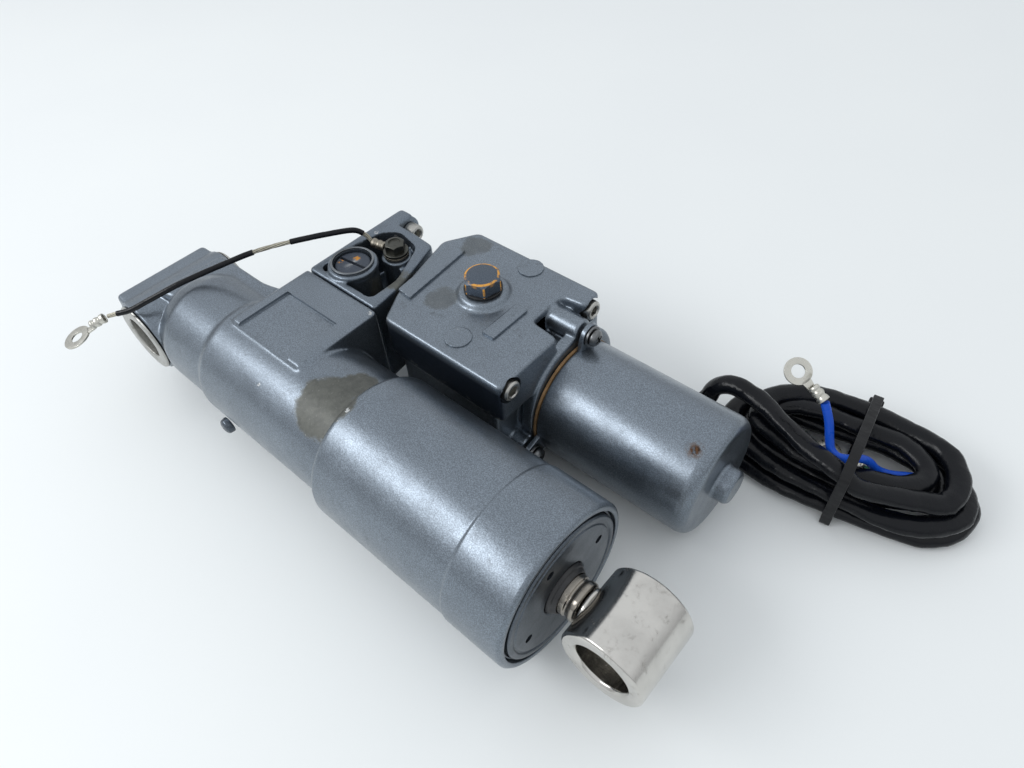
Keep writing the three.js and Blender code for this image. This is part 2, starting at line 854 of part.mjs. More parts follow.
SCREW_ANGLES.forEach((angle, i) => {
  const [y, z] = polar(angle, SCREW_CIRCLE);
  const seat = CAN_X + 2.4 + GAP;
  add("screw_washer_" + (i + 1), ring("x", seat, seat + 1.2, 2.5, 5.4, [0, y, z], 24), STAINLESS);
  const head = turned(
    [
      [seat + 1.5, 0],
      [seat + 1.5, 4.3],
      [seat + 3.4, 4],
      [seat + 4.4, 2.8],
      [seat + 4.8, 0],
    ],
    "x",
    24,
    [0, y, z],
  );
  const cross = [0, 90].map((turn) =>
    moved(box(seat + 2.8, seat + 8, -2.2, 2.2, -0.5, 0.5).rotate([turn + 20, 0, 0]), 0, y, z),
  );
  const shank = rod("x", seat - 11, seat + 2, 2, [0, y, z], 16);
  add("motor_screw_" + (i + 1), cut(join(head, shank), ...cross), STAINLESS);
});

[90, -90].forEach((middle, i) => {
  const half = 62;
  const wedge = new THREE.Shape();
  const at = (angle, r) => [r * Math.cos((angle * Math.PI) / 180), r * Math.sin((angle * Math.PI) / 180)];
  const steps = 10;
  for (let k = 0; k <= steps; k++) {
    const point = at(middle - half + (2 * half * k) / steps, 27.3);
    if (k === 0) wedge.moveTo(...point);
    else wedge.lineTo(...point);
  }
  for (let k = steps; k >= 0; k--) wedge.lineTo(...at(middle - half + (2 * half * k) / steps, 23.4));
  wedge.closePath();
  const geometry = new THREE.ExtrudeGeometry(wedge, { depth: 44, bevelEnabled: false });
  geometry.rotateY(Math.PI / 2);
  geometry.translate(-36, MOTOR_Y, MOTOR_Z);
  add("magnet_" + (i + 1), solid(geometry), FERRITE);
});
add("armature_shaft", rod("x", -76.2, MOTOR_END + 4.5, 4, MOTOR_AXIS, 24, 0.5), STEEL);
const slots = Array.from({ length: 8 }, (_, i) =>
  moved(box(-40, 10, 15, 24, -1.3, 1.3).rotate([i * 45 + 20, 0, 0]), 0, MOTOR_Y, MOTOR_Z),
);
add(
  "armature_core",
  cut(rod("x", -32, 4, 22.4, MOTOR_AXIS, 40), rod("x", -40, 20, 4.3, MOTOR_AXIS, 24), ...slots),
  COPPER,
);
const shaftGap = rod("x", -60, -30, 4.3, MOTOR_AXIS, 24);
add("commutator", cut(rod("x", -50, -38, 9, MOTOR_AXIS, 32, 0.4), shaftGap), COPPER);
const holderBlock = (side, reach, half, x0, x1) => {
  const y = MOTOR_Y + side * 16;
  return box(x0, x1, y - reach, y + reach, MOTOR_Z - half, MOTOR_Z + half);
};
add(
  "brush_plate",
  cut(
    join(
      ring("x", -54, -51, 11, 27.2, MOTOR_AXIS, 36),
      holderBlock(-1, 5, 5, -51.5, -38.5),
      holderBlock(1, 5, 5, -51.5, -38.5),
    ),
    holderBlock(-1, 7, 3.6, -47.6, -40.4),
    holderBlock(1, 7, 3.6, -47.6, -40.4),
  ),
  BRONZE,
);
[-1, 1].forEach((side, i) => {
  const inner = MOTOR_Y + side * 9.4;
  const outer = MOTOR_Y + side * 19;
  add(
    "brush_" + (i + 1),
    box(-47.2, -40.8, Math.min(inner, outer), Math.max(inner, outer), MOTOR_Z - 3.2, MOTOR_Z + 3.2),
    FERRITE,
  );
});
add(
  "cable_grommet",
  turned(
    [
      [27.6, 4.95],
      [27.6, 5.3],
      [30.3, 5.3],
      [30.3, 7.6],
      [33.2, 7],
      [33.2, 4.95],
      [27.6, 4.95],
    ],
    "y",
    24,
    [-52, MOTOR_Y, 24],
  ),
  RUBBER,
);

// ---- cables -------------------------------------------------------------------------------------
const SLEEVE_R = 4.6;
add(
  "motor_cable",
  tube(
    [
      [-52, 116, 24],
      [-51.9, 124, 23.4],
      [-50.3, 130, 18.5],
      [-45, 131.5, 10],
      [-35, 131, 6.2],
      [-26, 131, 6.5],
      [-20, 134, 11],
      [-16, 137, 18.5],
      [-13, 139, 26.6],
      [-5.5, 140.5, 31.4],
      [6, 140, 31.4],
      [16, 137, 31.3],
      [28, 132, 31.1],
      [40, 127.5, 31],
      [48, 125.5, 31],
    ],
    SLEEVE_R,
    20,
    10,
  ),
  VINYL,
);

const HANK = { x: 53, y: 148.5, tilt: 8, halfLength: 51, halfWidth: 20.5, height: 24, band: 21.5 };
function hankRing() {
  const turns = 28;
  const outer = new THREE.Shape();
  const inner = new THREE.Path();
  const oval = (t, grow) => {
    const c = Math.cos(t);
    const s = Math.sin(t);
    const power = (v, p) => Math.sign(v) * Math.abs(v) ** p;
    return [(HANK.halfLength + grow) * power(c, 0.8), (HANK.halfWidth + grow) * power(s, 0.85)];
  };
  for (let i = 0; i < turns; i++) {
    const t = (i * 2 * Math.PI) / turns;
    const edge = HANK.band / 2 - 3;
    if (i === 0) {
      outer.moveTo(...oval(t, edge));
      inner.moveTo(...oval(t, -edge));
    } else {
      outer.lineTo(...oval(t, edge));
      inner.lineTo(...oval(t, -edge));
    }
  }
  outer.closePath();
  inner.closePath();
  outer.holes.push(inner);
  const geometry = new THREE.ExtrudeGeometry(outer, {
    depth: HANK.height - 6,
    bevelEnabled: true,
    bevelThickness: 3,
    bevelSize: 3,
    bevelSegments: 2,
  });
  geometry.rotateZ((HANK.tilt * Math.PI) / 180);
  geometry.translate(HANK.x, HANK.y, 4.6);
  return solid(geometry);
}
add("cable_hank", hankRing(), VINYL);

// The tie's strap is a closed band round the hank, lower on the far side, where its head sits.
const TIE = { x: 56, y: 148.9, turn: 8, width: 4.8, thick: 1.2 };
const TIE_OUTLINE = [
  [-33.6, 0.1],
  [33.6, 0.1],
  [33.6, 27.2],
  [20, 31],
  [-12, 37.8],
  [-33.6, 37.8],
];
function tieLoop() {
  const band = (outline, from, to) => {
    const shape = new THREE.Shape(outline.map(([y, z]) => new THREE.Vector2(y, z)));
    const geometry = new THREE.ExtrudeGeometry(shape, { depth: to - from, bevelEnabled: false });
    geometry.rotateY(Math.PI / 2);
    geometry.rotateX(Math.PI / 2);
    geometry.translate(from, 0, 0);
    return solid(geometry);
  };
  const corners = TIE_OUTLINE.map((point) => new THREE.Vector2(...point));
  const inner = insetPlan(corners, TIE.thick).map(({ x, y }) => [x, y]);
  const strap = cut(band(TIE_OUTLINE, -TIE.width / 2, TIE.width / 2), band(inner, -9, 9));
  const head = box(-3.6, 3.6, 33.6 - TIE.thick, 36.8, 14, 21);
  return moved(join(strap, head).rotate([0, 0, TIE.turn]), TIE.x, TIE.y, 0);
}
add("cable_tie", tieLoop(), RUBBER);

add(
  "blue_wire",
  tube(
    [
      [85, 155.2, 17],
      [80, 152.6, 16.5],
      [73, 148.5, 16.5],
      [67.5, 145.5, 19],
      [63.5, 142.2, 25],
      [60, 138, 28.8],
      [56, 134.4, 29],
      [51.5, 133, 28.8],
      [47.8, 134.2, 30],
      [45.3, 135.8, 34],
      [42.4, 137.2, 41.5],
      [39.6, 137.8, 47.2],
      [37.3, 138.4, 51],
    ],
    2,
    16,
    8,
  ),
  BLUE,
);
add(
  "green_wire",
  tube(
    [
      [85, 150.6, 12],
      [80, 149.6, 12.2],
      [72, 148.2, 12.6],
      [66, 147.4, 13.2],
      [62.4, 146.4, 13.9],
    ],
    1.7,
    8,
    8,
  ),
  GREEN,
);

// Ring terminal lying in its own XY plane: eye at the origin, barrel towards +X.
function ringTerminal(eyeRadius, hole, thickness, barrelRadius, reach) {
  const eye = rod("z", 0, thickness, eyeRadius, [0, 0, 0], 28);
  const neck = box(eyeRadius - 2, reach - 7, -barrelRadius, barrelRadius, 0, thickness);
  const barrel = cut(
    rod("x", reach - 8, reach, barrelRadius + 0.8, [0, 0, barrelRadius + 0.3], 16, 0.4),
    rod("x", reach - 6.5, reach + 1, barrelRadius - 0.2, [0, 0, barrelRadius + 0.3], 12),
  );
  return cut(join(eye, neck, barrel), rod("z", -3, 3, hole, [0, 0, 0], 24));
}
const wireTerminal = () => ringTerminal(6.4, 3.2, 1, 2.1, 17);
add("blue_terminal", moved(wireTerminal().rotate([20, 28, -9.3]), 20.9, 142, 57.5), TIN);
add("green_terminal", moved(wireTerminal().rotate([0, 0, -4]), 44.8, 147.6, 11.6), TIN);

add(
  "earth_lead",
  tube(
    [
      [-193, 77.8, 72],
      [-195.8, 77, 75.4],
      [-199.3, 73.2, 79.2],
      [-202.5, 64.8, 81.5],
      [-207.2, 54.3, 83],
      [-215.5, 44, 82],
      [-223, 36, 80.2],
      [-230.3, 27.2, 78],
      [-238.6, 12.6, 75],
      [-247.9, -6.4, 71.3],
      [-256.3, -20.6, 66.2],
      [-263.3, -30.2, 61.8],
      [-268.5, -35.7, 60.4],
      [-272.2, -39.5, 59.3],
    ],
    1.5,
    26,
    8,
  ),
  VINYL,
);
const leadEnd = ringTerminal(7.6, 3.2, 1, 1.9, 18).rotate([0, -17, 65]);
add("earth_lead_end", moved(leadEnd, -280.2, -56.2, 51.5), TIN);
const leadStart = ringTerminal(6.6, 3.2, 1.1, 1.9, 15).rotate([0, 0, 190]);
add("earth_lug", moved(leadStart, EARTH_BOLT.x, EARTH_BOLT.y, boltTop + 0.2), TIN);

export default root;
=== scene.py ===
import math

import bmesh
import bpy
from mathutils import Matrix, Vector, noise


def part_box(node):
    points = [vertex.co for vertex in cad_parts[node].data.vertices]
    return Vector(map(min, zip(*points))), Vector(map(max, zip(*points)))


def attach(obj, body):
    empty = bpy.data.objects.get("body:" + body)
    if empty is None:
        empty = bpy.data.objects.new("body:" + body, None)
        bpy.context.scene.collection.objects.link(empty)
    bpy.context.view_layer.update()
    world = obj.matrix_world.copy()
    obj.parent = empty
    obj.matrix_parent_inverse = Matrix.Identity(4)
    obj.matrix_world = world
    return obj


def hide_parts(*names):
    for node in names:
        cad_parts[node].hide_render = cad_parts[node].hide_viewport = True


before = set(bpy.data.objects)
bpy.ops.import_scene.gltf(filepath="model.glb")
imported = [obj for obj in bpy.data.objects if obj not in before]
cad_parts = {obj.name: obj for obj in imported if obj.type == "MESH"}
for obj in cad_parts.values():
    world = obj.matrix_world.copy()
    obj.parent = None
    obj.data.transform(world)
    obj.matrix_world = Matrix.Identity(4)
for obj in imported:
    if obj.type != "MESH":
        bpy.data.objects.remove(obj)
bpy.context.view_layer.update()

# ---- places taken from the frame ----
MM = 0.001
CAP_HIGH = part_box("end_cap")[1]
ROD_LOW, ROD_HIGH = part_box("piston_rod")
CAN_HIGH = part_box("motor_can")[1]
CAP_FACE = -0.8  # x of the end cap's face
X0 = CAP_HIGH.x - CAP_FACE * MM
Y0 = (ROD_LOW.y + ROD_HIGH.y) / 2
CYL_Z = (ROD_LOW.z + ROD_HIGH.z) / 2 / MM
MOTOR_Y = 87.6
MOTOR_Z = 30.4
MOTOR_END = (CAN_HIGH.x - X0) / MM - 7.6
PUMP_TOP = 74.0
EYE = ((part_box("rod_eye")[1].x - X0) / MM - 18.4, 0.0, CYL_Z)
LUG = (-269.0, 0.0, CYL_Z)
VALVE = (-184.0, 57.5, 75.5)
EARTH_BOLT = (-177.0, 80.5, 69.3)
PLUG = (-115.0, 81.8, 77.5)
SCREW_CIRCLE = 36.4
SCREW_ANGLES = (75.6, -36.0, 196.0)
CYL_AXIS = (0.0, 0.0, CYL_Z)
MOTOR_AXIS = (0.0, MOTOR_Y, MOTOR_Z)


def place(x, y, z):
    """The point of the row frame, in metres, for a place in working millimetres."""
    return Vector((X0 + x * MM, Y0 + y * MM, z * MM))


# ---- camera ----
CAMERA_AT = (82.7, -103.6, 305.8)
YAW, PITCH, ROLL = math.radians(134.77), math.radians(47.8), math.radians(4.92)
LENS = 25.7


def add_camera():
    forward = Vector((math.cos(YAW) * math.cos(PITCH), math.sin(YAW) * math.cos(PITCH), -math.sin(PITCH)))
    right = Vector((math.sin(YAW), -math.cos(YAW), 0))
    down = forward.cross(right)
    right_rolled = math.cos(ROLL) * right + math.sin(ROLL) * down
    down_rolled = -math.sin(ROLL) * right + math.cos(ROLL) * down
    turn = Matrix((right_rolled, -down_rolled, -forward)).transposed()
    data = bpy.data.cameras.new("camera")
    data.lens = LENS
    data.sensor_width = 36
    data.clip_start = 0.01
    camera = bpy.data.objects.new("camera", data)
    camera.matrix_world = Matrix.Translation(place(*CAMERA_AT)) @ turn.to_4x4()
    bpy.context.scene.collection.objects.link(camera)
    bpy.context.scene.camera = camera


add_camera()


# ---- materials ----
class Nodes:
    """Builds one material's node tree; colours vary with the place on the piece."""

    def __init__(self, name):
        self.material = bpy.data.materials.new(name)
        self.material.use_nodes = True
        self.tree = self.material.node_tree
        self.shader = self.tree.nodes["Principled BSDF"]
        self.place = self.tree.nodes.new("ShaderNodeTexCoord").outputs["Object"]

    def node(self, kind, **values):
        made = self.tree.nodes.new(kind)
        for key, value in values.items():
            setattr(made, key, value)
        return made

    def link(self, a, b):
        self.tree.links.new(a, b)

    def put(self, socket, value):
        if isinstance(value, bpy.types.NodeSocket):
            self.link(value, socket)
        else:
            socket.default_value = value

    def put_color(self, socket, value):
        self.put(socket, value if isinstance(value, bpy.types.NodeSocket) else (*value, 1.0))

    def noise(self, scale, detail=4.0, rough=0.55, stretch=None, distort=0.0):
        made = self.node("ShaderNodeTexNoise")
        made.inputs["Scale"].default_value = scale
        made.inputs["Detail"].default_value = detail
        made.inputs["Roughness"].default_value = rough
        made.inputs["Distortion"].default_value = distort
        source = self.place
        if stretch:
            mapping = self.node("ShaderNodeMapping")
            mapping.inputs["Scale"].default_value = stretch
            self.link(source, mapping.inputs["Vector"])
            source = mapping.outputs["Vector"]
        self.link(source, made.inputs["Vector"])
        return made.outputs["Fac"]

    def ramp(self, value, low, high, smooth=True, out=(0.0, 1.0)):
        made = self.node("ShaderNodeMapRange")
        made.interpolation_type = "SMOOTHSTEP" if smooth else "LINEAR"
        self.put(made.inputs["Value"], value)
        made.inputs["From Min"].default_value = low
        made.inputs["From Max"].default_value = high
        made.inputs["To Min"].default_value = out[0]
        made.inputs["To Max"].default_value = out[1]
        return made.outputs["Result"]

    def math(self, kind, a, b=0.0):
        made = self.node("ShaderNodeMath", operation=kind)
        self.put(made.inputs[0], a)
        self.put(made.inputs[1], b)
        return made.outputs[0]

    def times(self, a, b):
        return self.math("MULTIPLY", a, b)

    def mix(self, factor, a, b):
        made = self.node("ShaderNodeMix", data_type="RGBA")
        self.put(made.inputs["Factor"], factor)
        self.put_color(made.inputs[6], a)
        self.put_color(made.inputs[7], b)
        return made.outputs[2]

    def mix_value(self, factor, a, b):
        made = self.node("ShaderNodeMix", data_type="FLOAT")
        self.put(made.inputs["Factor"], factor)
        self.put(made.inputs[2], a)
        self.put(made.inputs[3], b)
        return made.outputs[0]

    def near(self, centre, radius, fade):
        """1 inside a ball round a point given in working millimetres, fading to 0."""
        made = self.node("ShaderNodeVectorMath", operation="DISTANCE")
        self.link(self.place, made.inputs[0])
        made.inputs[1].default_value = place(*centre)
        return self.ramp(made.outputs["Value"], radius * MM, (radius + fade) * MM, out=(1.0, 0.0))

    def band(self, centre, radius, half, fade):
        """1 on a ring round the upright line through a point, fading to 0 on both sides."""
        offset = self.node("ShaderNodeVectorMath", operation="SUBTRACT")
        self.link(self.place, offset.inputs[0])
        offset.inputs[1].default_value = place(*centre)
        flat = self.node("ShaderNodeVectorMath", operation="MULTIPLY")
        self.link(offset.outputs["Vector"], flat.inputs[0])
        flat.inputs[1].default_value = (1, 1, 0)
        reach = self.node("ShaderNodeVectorMath", operation="LENGTH")
        self.link(flat.outputs["Vector"], reach.inputs[0])
        away = self.math("ABSOLUTE", self.math("SUBTRACT", reach.outputs["Value"], radius * MM))
        return self.ramp(away, half * MM, (half + fade) * MM, out=(1.0, 0.0))

    def past(self, axis, edge, fade):
        """0 below a place along an axis and 1 above it, in working millimetres."""
        split = self.node("ShaderNodeSeparateXYZ")
        self.link(self.place, split.inputs[0])
        at = place(edge, edge, edge)["XYZ".index(axis)]
        return self.ramp(split.outputs[axis], at - fade * MM, at + fade * MM)

    def pointiness(self):
        return self.node("ShaderNodeNewGeometry").outputs["Pointiness"]

    def bump(self, height, strength, distance, after=None):
        made = self.node("ShaderNodeBump")
        made.inputs["Strength"].default_value = strength
        made.inputs["Distance"].default_value = distance
        self.link(height, made.inputs["Height"])
        if after is not None:
            self.link(after, made.inputs["Normal"])
        return made.outputs["Normal"]

    def done(self, color, rough, metal=0.0, normal=None, **more):
        self.put_color(self.shader.inputs["Base Color"], color)
        self.put(self.shader.inputs["Roughness"], rough)
        self.put(self.shader.inputs["Metallic"], metal)
        if normal is not None:
            self.link(normal, self.shader.inputs["Normal"])
        for key, value in more.items():
            self.shader.inputs[key.replace("_", " ")].default_value = value
        return self.material


def shade(color, factor, lift=0.0):
    return tuple(c * factor + lift for c in color)


PAINT_COLOR = (0.185, 0.215, 0.250)
BARE_COLOR = (0.125, 0.125, 0.108)
CHIP_COLOR = (0.48, 0.49, 0.49)


def paint_material(
    name, color=PAINT_COLOR, wear=0.5, grime=0.3, patches=(), bared=0.9, chips=(), rust=(), painted_wall_shade=False
):
    """Metallic paint on a casting: flake, cast texture, worn edges, dirt, bare patches, chips and rust, and
    on request painted shade that darkens a near wall.
    """
    n = Nodes(name)
    flake = n.noise(2100, 1.0, 0.4)
    tone = n.noise(28, 3.0)
    base = n.mix(n.ramp(flake, 0.30, 0.78), shade(color, 0.80), shade(color, 1.40))
    base = n.mix(n.ramp(tone, 0.3, 0.75, out=(0.0, 0.25)), base, shade(color, 0.68))
    rough = n.ramp(n.noise(90, 5.0), 0.3, 0.75, out=(0.29, 0.40))
    metal = 0.88
    dust = n.ramp(n.noise(160, 6.0, 0.7), 0.56, 0.74, out=(0.0, grime * 0.8))
    base = n.mix(dust, base, (0.075, 0.080, 0.082))
    rough = n.mix_value(dust, rough, 0.7)
    bare = None
    for centre, radius, fade in patches:
        spot = n.near(centre, radius, fade)
        ragged = n.math("ADD", spot, n.ramp(n.noise(110, 5.0, 0.6), 0.25, 0.75, False, (-0.42, 0.42)))
        here = n.ramp(ragged, 0.34, 0.74)
        bare = here if bare is None else n.math("MAXIMUM", bare, here)
    if bare is not None:
        oxide = n.mix(n.ramp(n.noise(260, 4.0, 0.6), 0.35, 0.7), BARE_COLOR, shade(BARE_COLOR, 0.72))
        rim = n.times(n.ramp(bare, 0.05, 0.5), n.ramp(bare, 0.6, 1.0, out=(1.0, 0.15)))
        specks = n.times(rim, n.ramp(n.noise(1150, 2.0, 0.5), 0.67, 0.71))
        base = n.mix(n.times(bare, bared), base, oxide)
        base = n.mix(specks, base, (0.46, 0.46, 0.44))
        rough = n.mix_value(bare, rough, 0.6)
    # Painted shade: the near wall below the top is darkened to navy, standing in for shade and the dark
    # reflection of the gap over the barrel; the pale scuffs low on it are wear.
    if painted_wall_shade:
        wall = n.math("SUBTRACT", 1.0, n.past("Y", 42.5, 1.2))
        wall = n.times(wall, n.math("SUBTRACT", 1.0, n.past("Z", 69.5, 1.5)))
        base = n.mix(n.times(wall, 0.88), base, (0.020, 0.030, 0.050))
        low = n.math("SUBTRACT", 1.0, n.past("Z", 53.5, 3.5))
        scuffs = n.times(low, n.ramp(n.noise(360, 5.0, 0.7), 0.56, 0.60))
        scuffs = n.times(scuffs, wall)
        base = n.mix(n.times(scuffs, 0.8), base, (0.36, 0.38, 0.36))
        rough = n.mix_value(scuffs, rough, 0.6)
    edge = n.ramp(n.pointiness(), 0.535, 0.62)
    rubbed = n.times(edge, n.ramp(n.noise(260, 5.0, 0.7), 0.62 - 0.14 * wear, 0.68 - 0.08 * wear))
    flecks = n.ramp(n.noise(640, 3.0, 0.6), 0.755, 0.77)
    worn = n.math("MAXIMUM", n.times(rubbed, wear), n.times(flecks, 0.35))
    for centre, radius in chips:
        chip = n.near(centre, radius * 0.25, radius * 0.75)
        ragged = n.times(chip, n.ramp(n.noise(700, 4.0, 0.7), 0.36, 0.60))
        worn = n.math("MAXIMUM", worn, n.ramp(ragged, 0.25, 0.40))
    base = n.mix(worn, base, CHIP_COLOR)
    rough = n.mix_value(worn, rough, 0.42)
    for centre, radius in rust:
        spot = n.near(centre, radius * 0.62, radius * 0.5)
        halo = n.near(centre, radius, radius * 0.9)
        stain = n.times(halo, n.ramp(n.noise(500, 4.0), 0.4, 0.62, out=(0.0, 0.55)))
        base = n.mix(stain, base, (0.11, 0.062, 0.03))
        core = n.mix(n.ramp(n.noise(900, 4.0), 0.4, 0.6), (0.045, 0.026, 0.016), (0.15, 0.07, 0.03))
        base = n.mix(n.times(spot, n.ramp(n.noise(420, 4.0), 0.32, 0.5)), base, core)
        rough = n.mix_value(spot, rough, 0.8)
    relief = n.bump(n.noise(380, 3.0, 0.5), 0.22, 0.00035)
    relief = n.bump(worn, 0.35, 0.0002, relief)
    return n.done(base, rough, metal, relief, Coat_Weight=0.2, Coat_Roughness=0.25)


def steel_material(name, color, rough=(0.2, 0.36), lines=(1, 1, 1), grime=0.2, tint=(0.10, 0.085, 0.06)):
    """Bare metal with brushed or turned marks, uneven tone and dirt."""
    n = Nodes(name)
    marks = n.noise(700, 4.0, 0.6, stretch=lines)
    tone = n.ramp(n.noise(60, 4.0), 0.35, 0.7)
    base = n.mix(n.times(tone, 0.6), color, shade(color, 0.72))
    dirt = n.ramp(n.noise(240, 6.0, 0.7), 0.55, 0.72, out=(0.0, grime))
    base = n.mix(dirt, base, tint)
    value = n.ramp(marks, 0.3, 0.75, False, rough)
    value = n.mix_value(dirt, value, 0.7)
    relief = n.bump(marks, 0.12, 0.0001)
    return n.done(base, value, 1.0, relief)


def rubber_material(name, color=(0.012, 0.012, 0.013), rough=0.62, grain=900):
    n = Nodes(name)
    base = n.mix(n.ramp(n.noise(90, 5.0), 0.4, 0.7), color, shade(color, 2.2, 0.006))
    value = n.ramp(n.noise(200, 4.0), 0.3, 0.7, out=(rough - 0.08, rough + 0.12))
    return n.done(base, value, 0.0, n.bump(n.noise(grain, 3.0), 0.25, 0.0002))


def vinyl_material(name, color, rough=0.3):
    """Soft plastic sleeve: slight creases across it, dust and uneven gloss."""
    n = Nodes(name)
    dust = n.ramp(n.noise(180, 6.0, 0.7), 0.60, 0.78, out=(0.0, 0.15))
    base = n.mix(dust, color, shade(color, 1.4, 0.006))
    value = n.ramp(n.noise(120, 4.0), 0.3, 0.7, out=(rough - 0.08, rough + 0.10))
    relief = n.bump(n.noise(85, 3.0, 0.5), 0.6, 0.0016)
    relief = n.bump(n.noise(260, 3.0, 0.6, distort=0.6), 0.25, 0.0005, relief)
    return n.done(base, value, 0.0, relief, Specular_IOR_Level=0.24)


def worn_plug_material():
    """Painted plug whose edges are rubbed through to orange primer."""
    n = Nodes("plug_paint")
    base = n.mix(n.ramp(n.noise(2100, 1.0), 0.35, 0.75), (0.070, 0.086, 0.11), (0.12, 0.145, 0.18))
    ragged = n.ramp(n.noise(300, 4.0, 0.6), 0.38, 0.52)
    crown = n.past("Z", PLUG[2] + 6.2, 0.4)
    rim = n.times(n.times(n.band(PLUG, 8.0, 0.35, 0.35), crown), ragged)
    edge = n.ramp(n.noise(520, 4.0, 0.6), 0.40, 0.55)
    corner = n.times(n.band(PLUG, 9.75, 0.16, 0.12), edge)
    worn = n.math("MAXIMUM", rim, corner)
    base = n.mix(worn, base, (0.66, 0.31, 0.045))
    rough = n.mix_value(worn, 0.38, 0.65)
    metal = n.mix_value(worn, 0.7, 0.0)
    return n.done(base, rough, metal, n.bump(n.noise(500, 3.0), 0.2, 0.0003))


def valve_screw_material():
    """Painted slotted screw: rim rubbed to metal and two specks of orange primer beside the slot."""
    n = Nodes("valve_screw_paint")
    base = n.mix(n.ramp(n.noise(4200, 1.0), 0.35, 0.75), (0.032, 0.040, 0.056), (0.070, 0.084, 0.11))
    x, y, z = VALVE
    specks = n.math("MAXIMUM", n.near((x - 6, y - 3, z), 1.0, 1.1), n.near((x - 1.2, y + 3.8, z), 1.2, 1.2))
    specks = n.times(specks, n.ramp(n.noise(700, 4.0), 0.42, 0.52))
    rubbed = n.times(n.ramp(n.pointiness(), 0.53, 0.58), n.ramp(n.noise(300, 5.0), 0.40, 0.55))
    base = n.mix(rubbed, base, CHIP_COLOR)
    base = n.mix(specks, base, (0.55, 0.24, 0.03))
    return n.done(base, n.mix_value(specks, 0.4, 0.7), 0.4, n.bump(n.noise(500, 3.0), 0.2, 0.0003))


def floor_material():
    n = Nodes("floor_white")
    tone = n.mix(n.ramp(n.noise(3, 3.0), 0.3, 0.7), (0.815, 0.835, 0.835), (0.835, 0.855, 0.85))
    return n.done(tone, 0.5, 0.0)


M = {
    "barrel": paint_material(
        "paint_barrel", wear=0.55, patches=[((-117, -8, 70), 6, 8)], chips=[((-110, -8.8, 74.6), 1.7)]
    ),
    "neck": paint_material(
        "paint_neck",
        wear=0.5,
        patches=[((-124, -11, 68), 11, 10), ((-120, 5, 70.5), 6, 8)],
        chips=[((-163, -20, 64), 1.3), ((-150, 39, 72), 2.4), ((-288, -27, 52), 2)],
    ),
    "pump": paint_material(
        "paint_pump",
        wear=0.7,
        grime=0.5,
        patches=[((-128, 66, 74), 1, 13), ((-143, 106, 74), 2, 12)],
        bared=0.45,
        chips=[((-141, 41, 72), 2.2)],
        # painted shade on the cover's near wall
        painted_wall_shade=True,
    ),
    "valve": paint_material(
        "paint_valve", color=(0.150, 0.178, 0.212), wear=0.8, grime=0.75, patches=[((-160, 62, 62), 8, 12)],
        chips=[((-196, 84, 73), 2), ((-188, 90, 70), 2)],
    ),
    "motor": paint_material("paint_motor", wear=0.4, grime=0.2, rust=[((8.7, 75.3, 57.8), 2.6)]),
    "cap": paint_material("paint_cap", color=(0.088, 0.104, 0.124), wear=0.5, grime=0.25),
    "plug": worn_plug_material(),
    "valve_screw": valve_screw_material(),
    "rubber": rubber_material("black_rubber"),
    "wiper": rubber_material("wiper_rubber", (0.010, 0.010, 0.011), 0.4),
    "ferrite": rubber_material("ferrite", (0.03, 0.03, 0.032), 0.7),
    "gasket": rubber_material("gasket", (0.17, 0.10, 0.045), 0.8, 1500),
    "vinyl": vinyl_material("black_vinyl", (0.0030, 0.0036, 0.0055), 0.22),
    "tie": vinyl_material("black_nylon", (0.008, 0.008, 0.009), 0.38),
    "blue": vinyl_material("blue_vinyl", (0.008, 0.075, 0.50), 0.3),
    "green": vinyl_material("green_vinyl", (0.006, 0.10, 0.055), 0.34),
}
# Name, colour, least and most roughness, stretch of the marks, dirt and the dirt's colour.
METALS = {
    "eye": ("polished_steel", (0.64, 0.62, 0.585), (0.09, 0.26), (1, 5, 1), 0.4, (0.20, 0.185, 0.16)),
    "bush": ("bush_steel", (0.46, 0.455, 0.43), (0.28, 0.5), (1, 1, 1), 0.45),
    "stainless": ("stainless", (0.50, 0.49, 0.46), (0.25, 0.42), (1, 6, 6), 0.35),
    "chrome": ("hard_chrome", (0.36, 0.33, 0.29), (0.10, 0.24), (4, 1, 1), 0.35, (0.10, 0.07, 0.04)),
    "dark_steel": ("dark_steel", (0.10, 0.10, 0.09), (0.3, 0.55), (1, 1, 1), 0.8, (0.030, 0.030, 0.020)),
    "machined": ("machined_steel", (0.48, 0.48, 0.47), (0.22, 0.4), (6, 1, 1), 0.1),
    "clip": ("circlip", (0.22, 0.235, 0.25), (0.25, 0.45), (1, 1, 1), 0.6, (0.05, 0.05, 0.05)),
    "dull": ("dull_screw", (0.20, 0.205, 0.21), (0.28, 0.45), (1, 1, 1), 0.5, (0.05, 0.04, 0.03)),
    "strand": ("dull_strands", (0.38, 0.36, 0.30), (0.35, 0.6), (1, 1, 1), 0.6, (0.10, 0.08, 0.05)),
    "dull_tin": ("dull_tin", (0.33, 0.30, 0.25), (0.35, 0.6), (1, 1, 1), 0.8, (0.08, 0.07, 0.05)),
    "bronze": ("bronze", (0.42, 0.28, 0.11), (0.3, 0.5), (1, 1, 1), 0.3),
    "copper": ("copper", (0.60, 0.27, 0.13), (0.25, 0.5), (1, 1, 1), 0.4, (0.05, 0.03, 0.02)),
    "tin": ("tinned_copper", (0.60, 0.585, 0.53), (0.2, 0.45), (1, 1, 1), 0.4, (0.20, 0.18, 0.13)),
}
for key, values in METALS.items():
    M[key] = steel_material(*values)


# ---- mesh helpers ----
def new_object(name, mesh):
    made = bpy.data.objects.new(name, mesh)
    bpy.context.scene.collection.objects.link(made)
    return made


def from_bmesh(name, bm):
    mesh = bpy.data.meshes.new(name)
    bmesh.ops.remove_doubles(bm, verts=bm.verts, dist=1e-7)
    bmesh.ops.recalc_face_normals(bm, faces=bm.faces)
    bm.to_mesh(mesh)
    bm.free()
    return new_object(name, mesh)


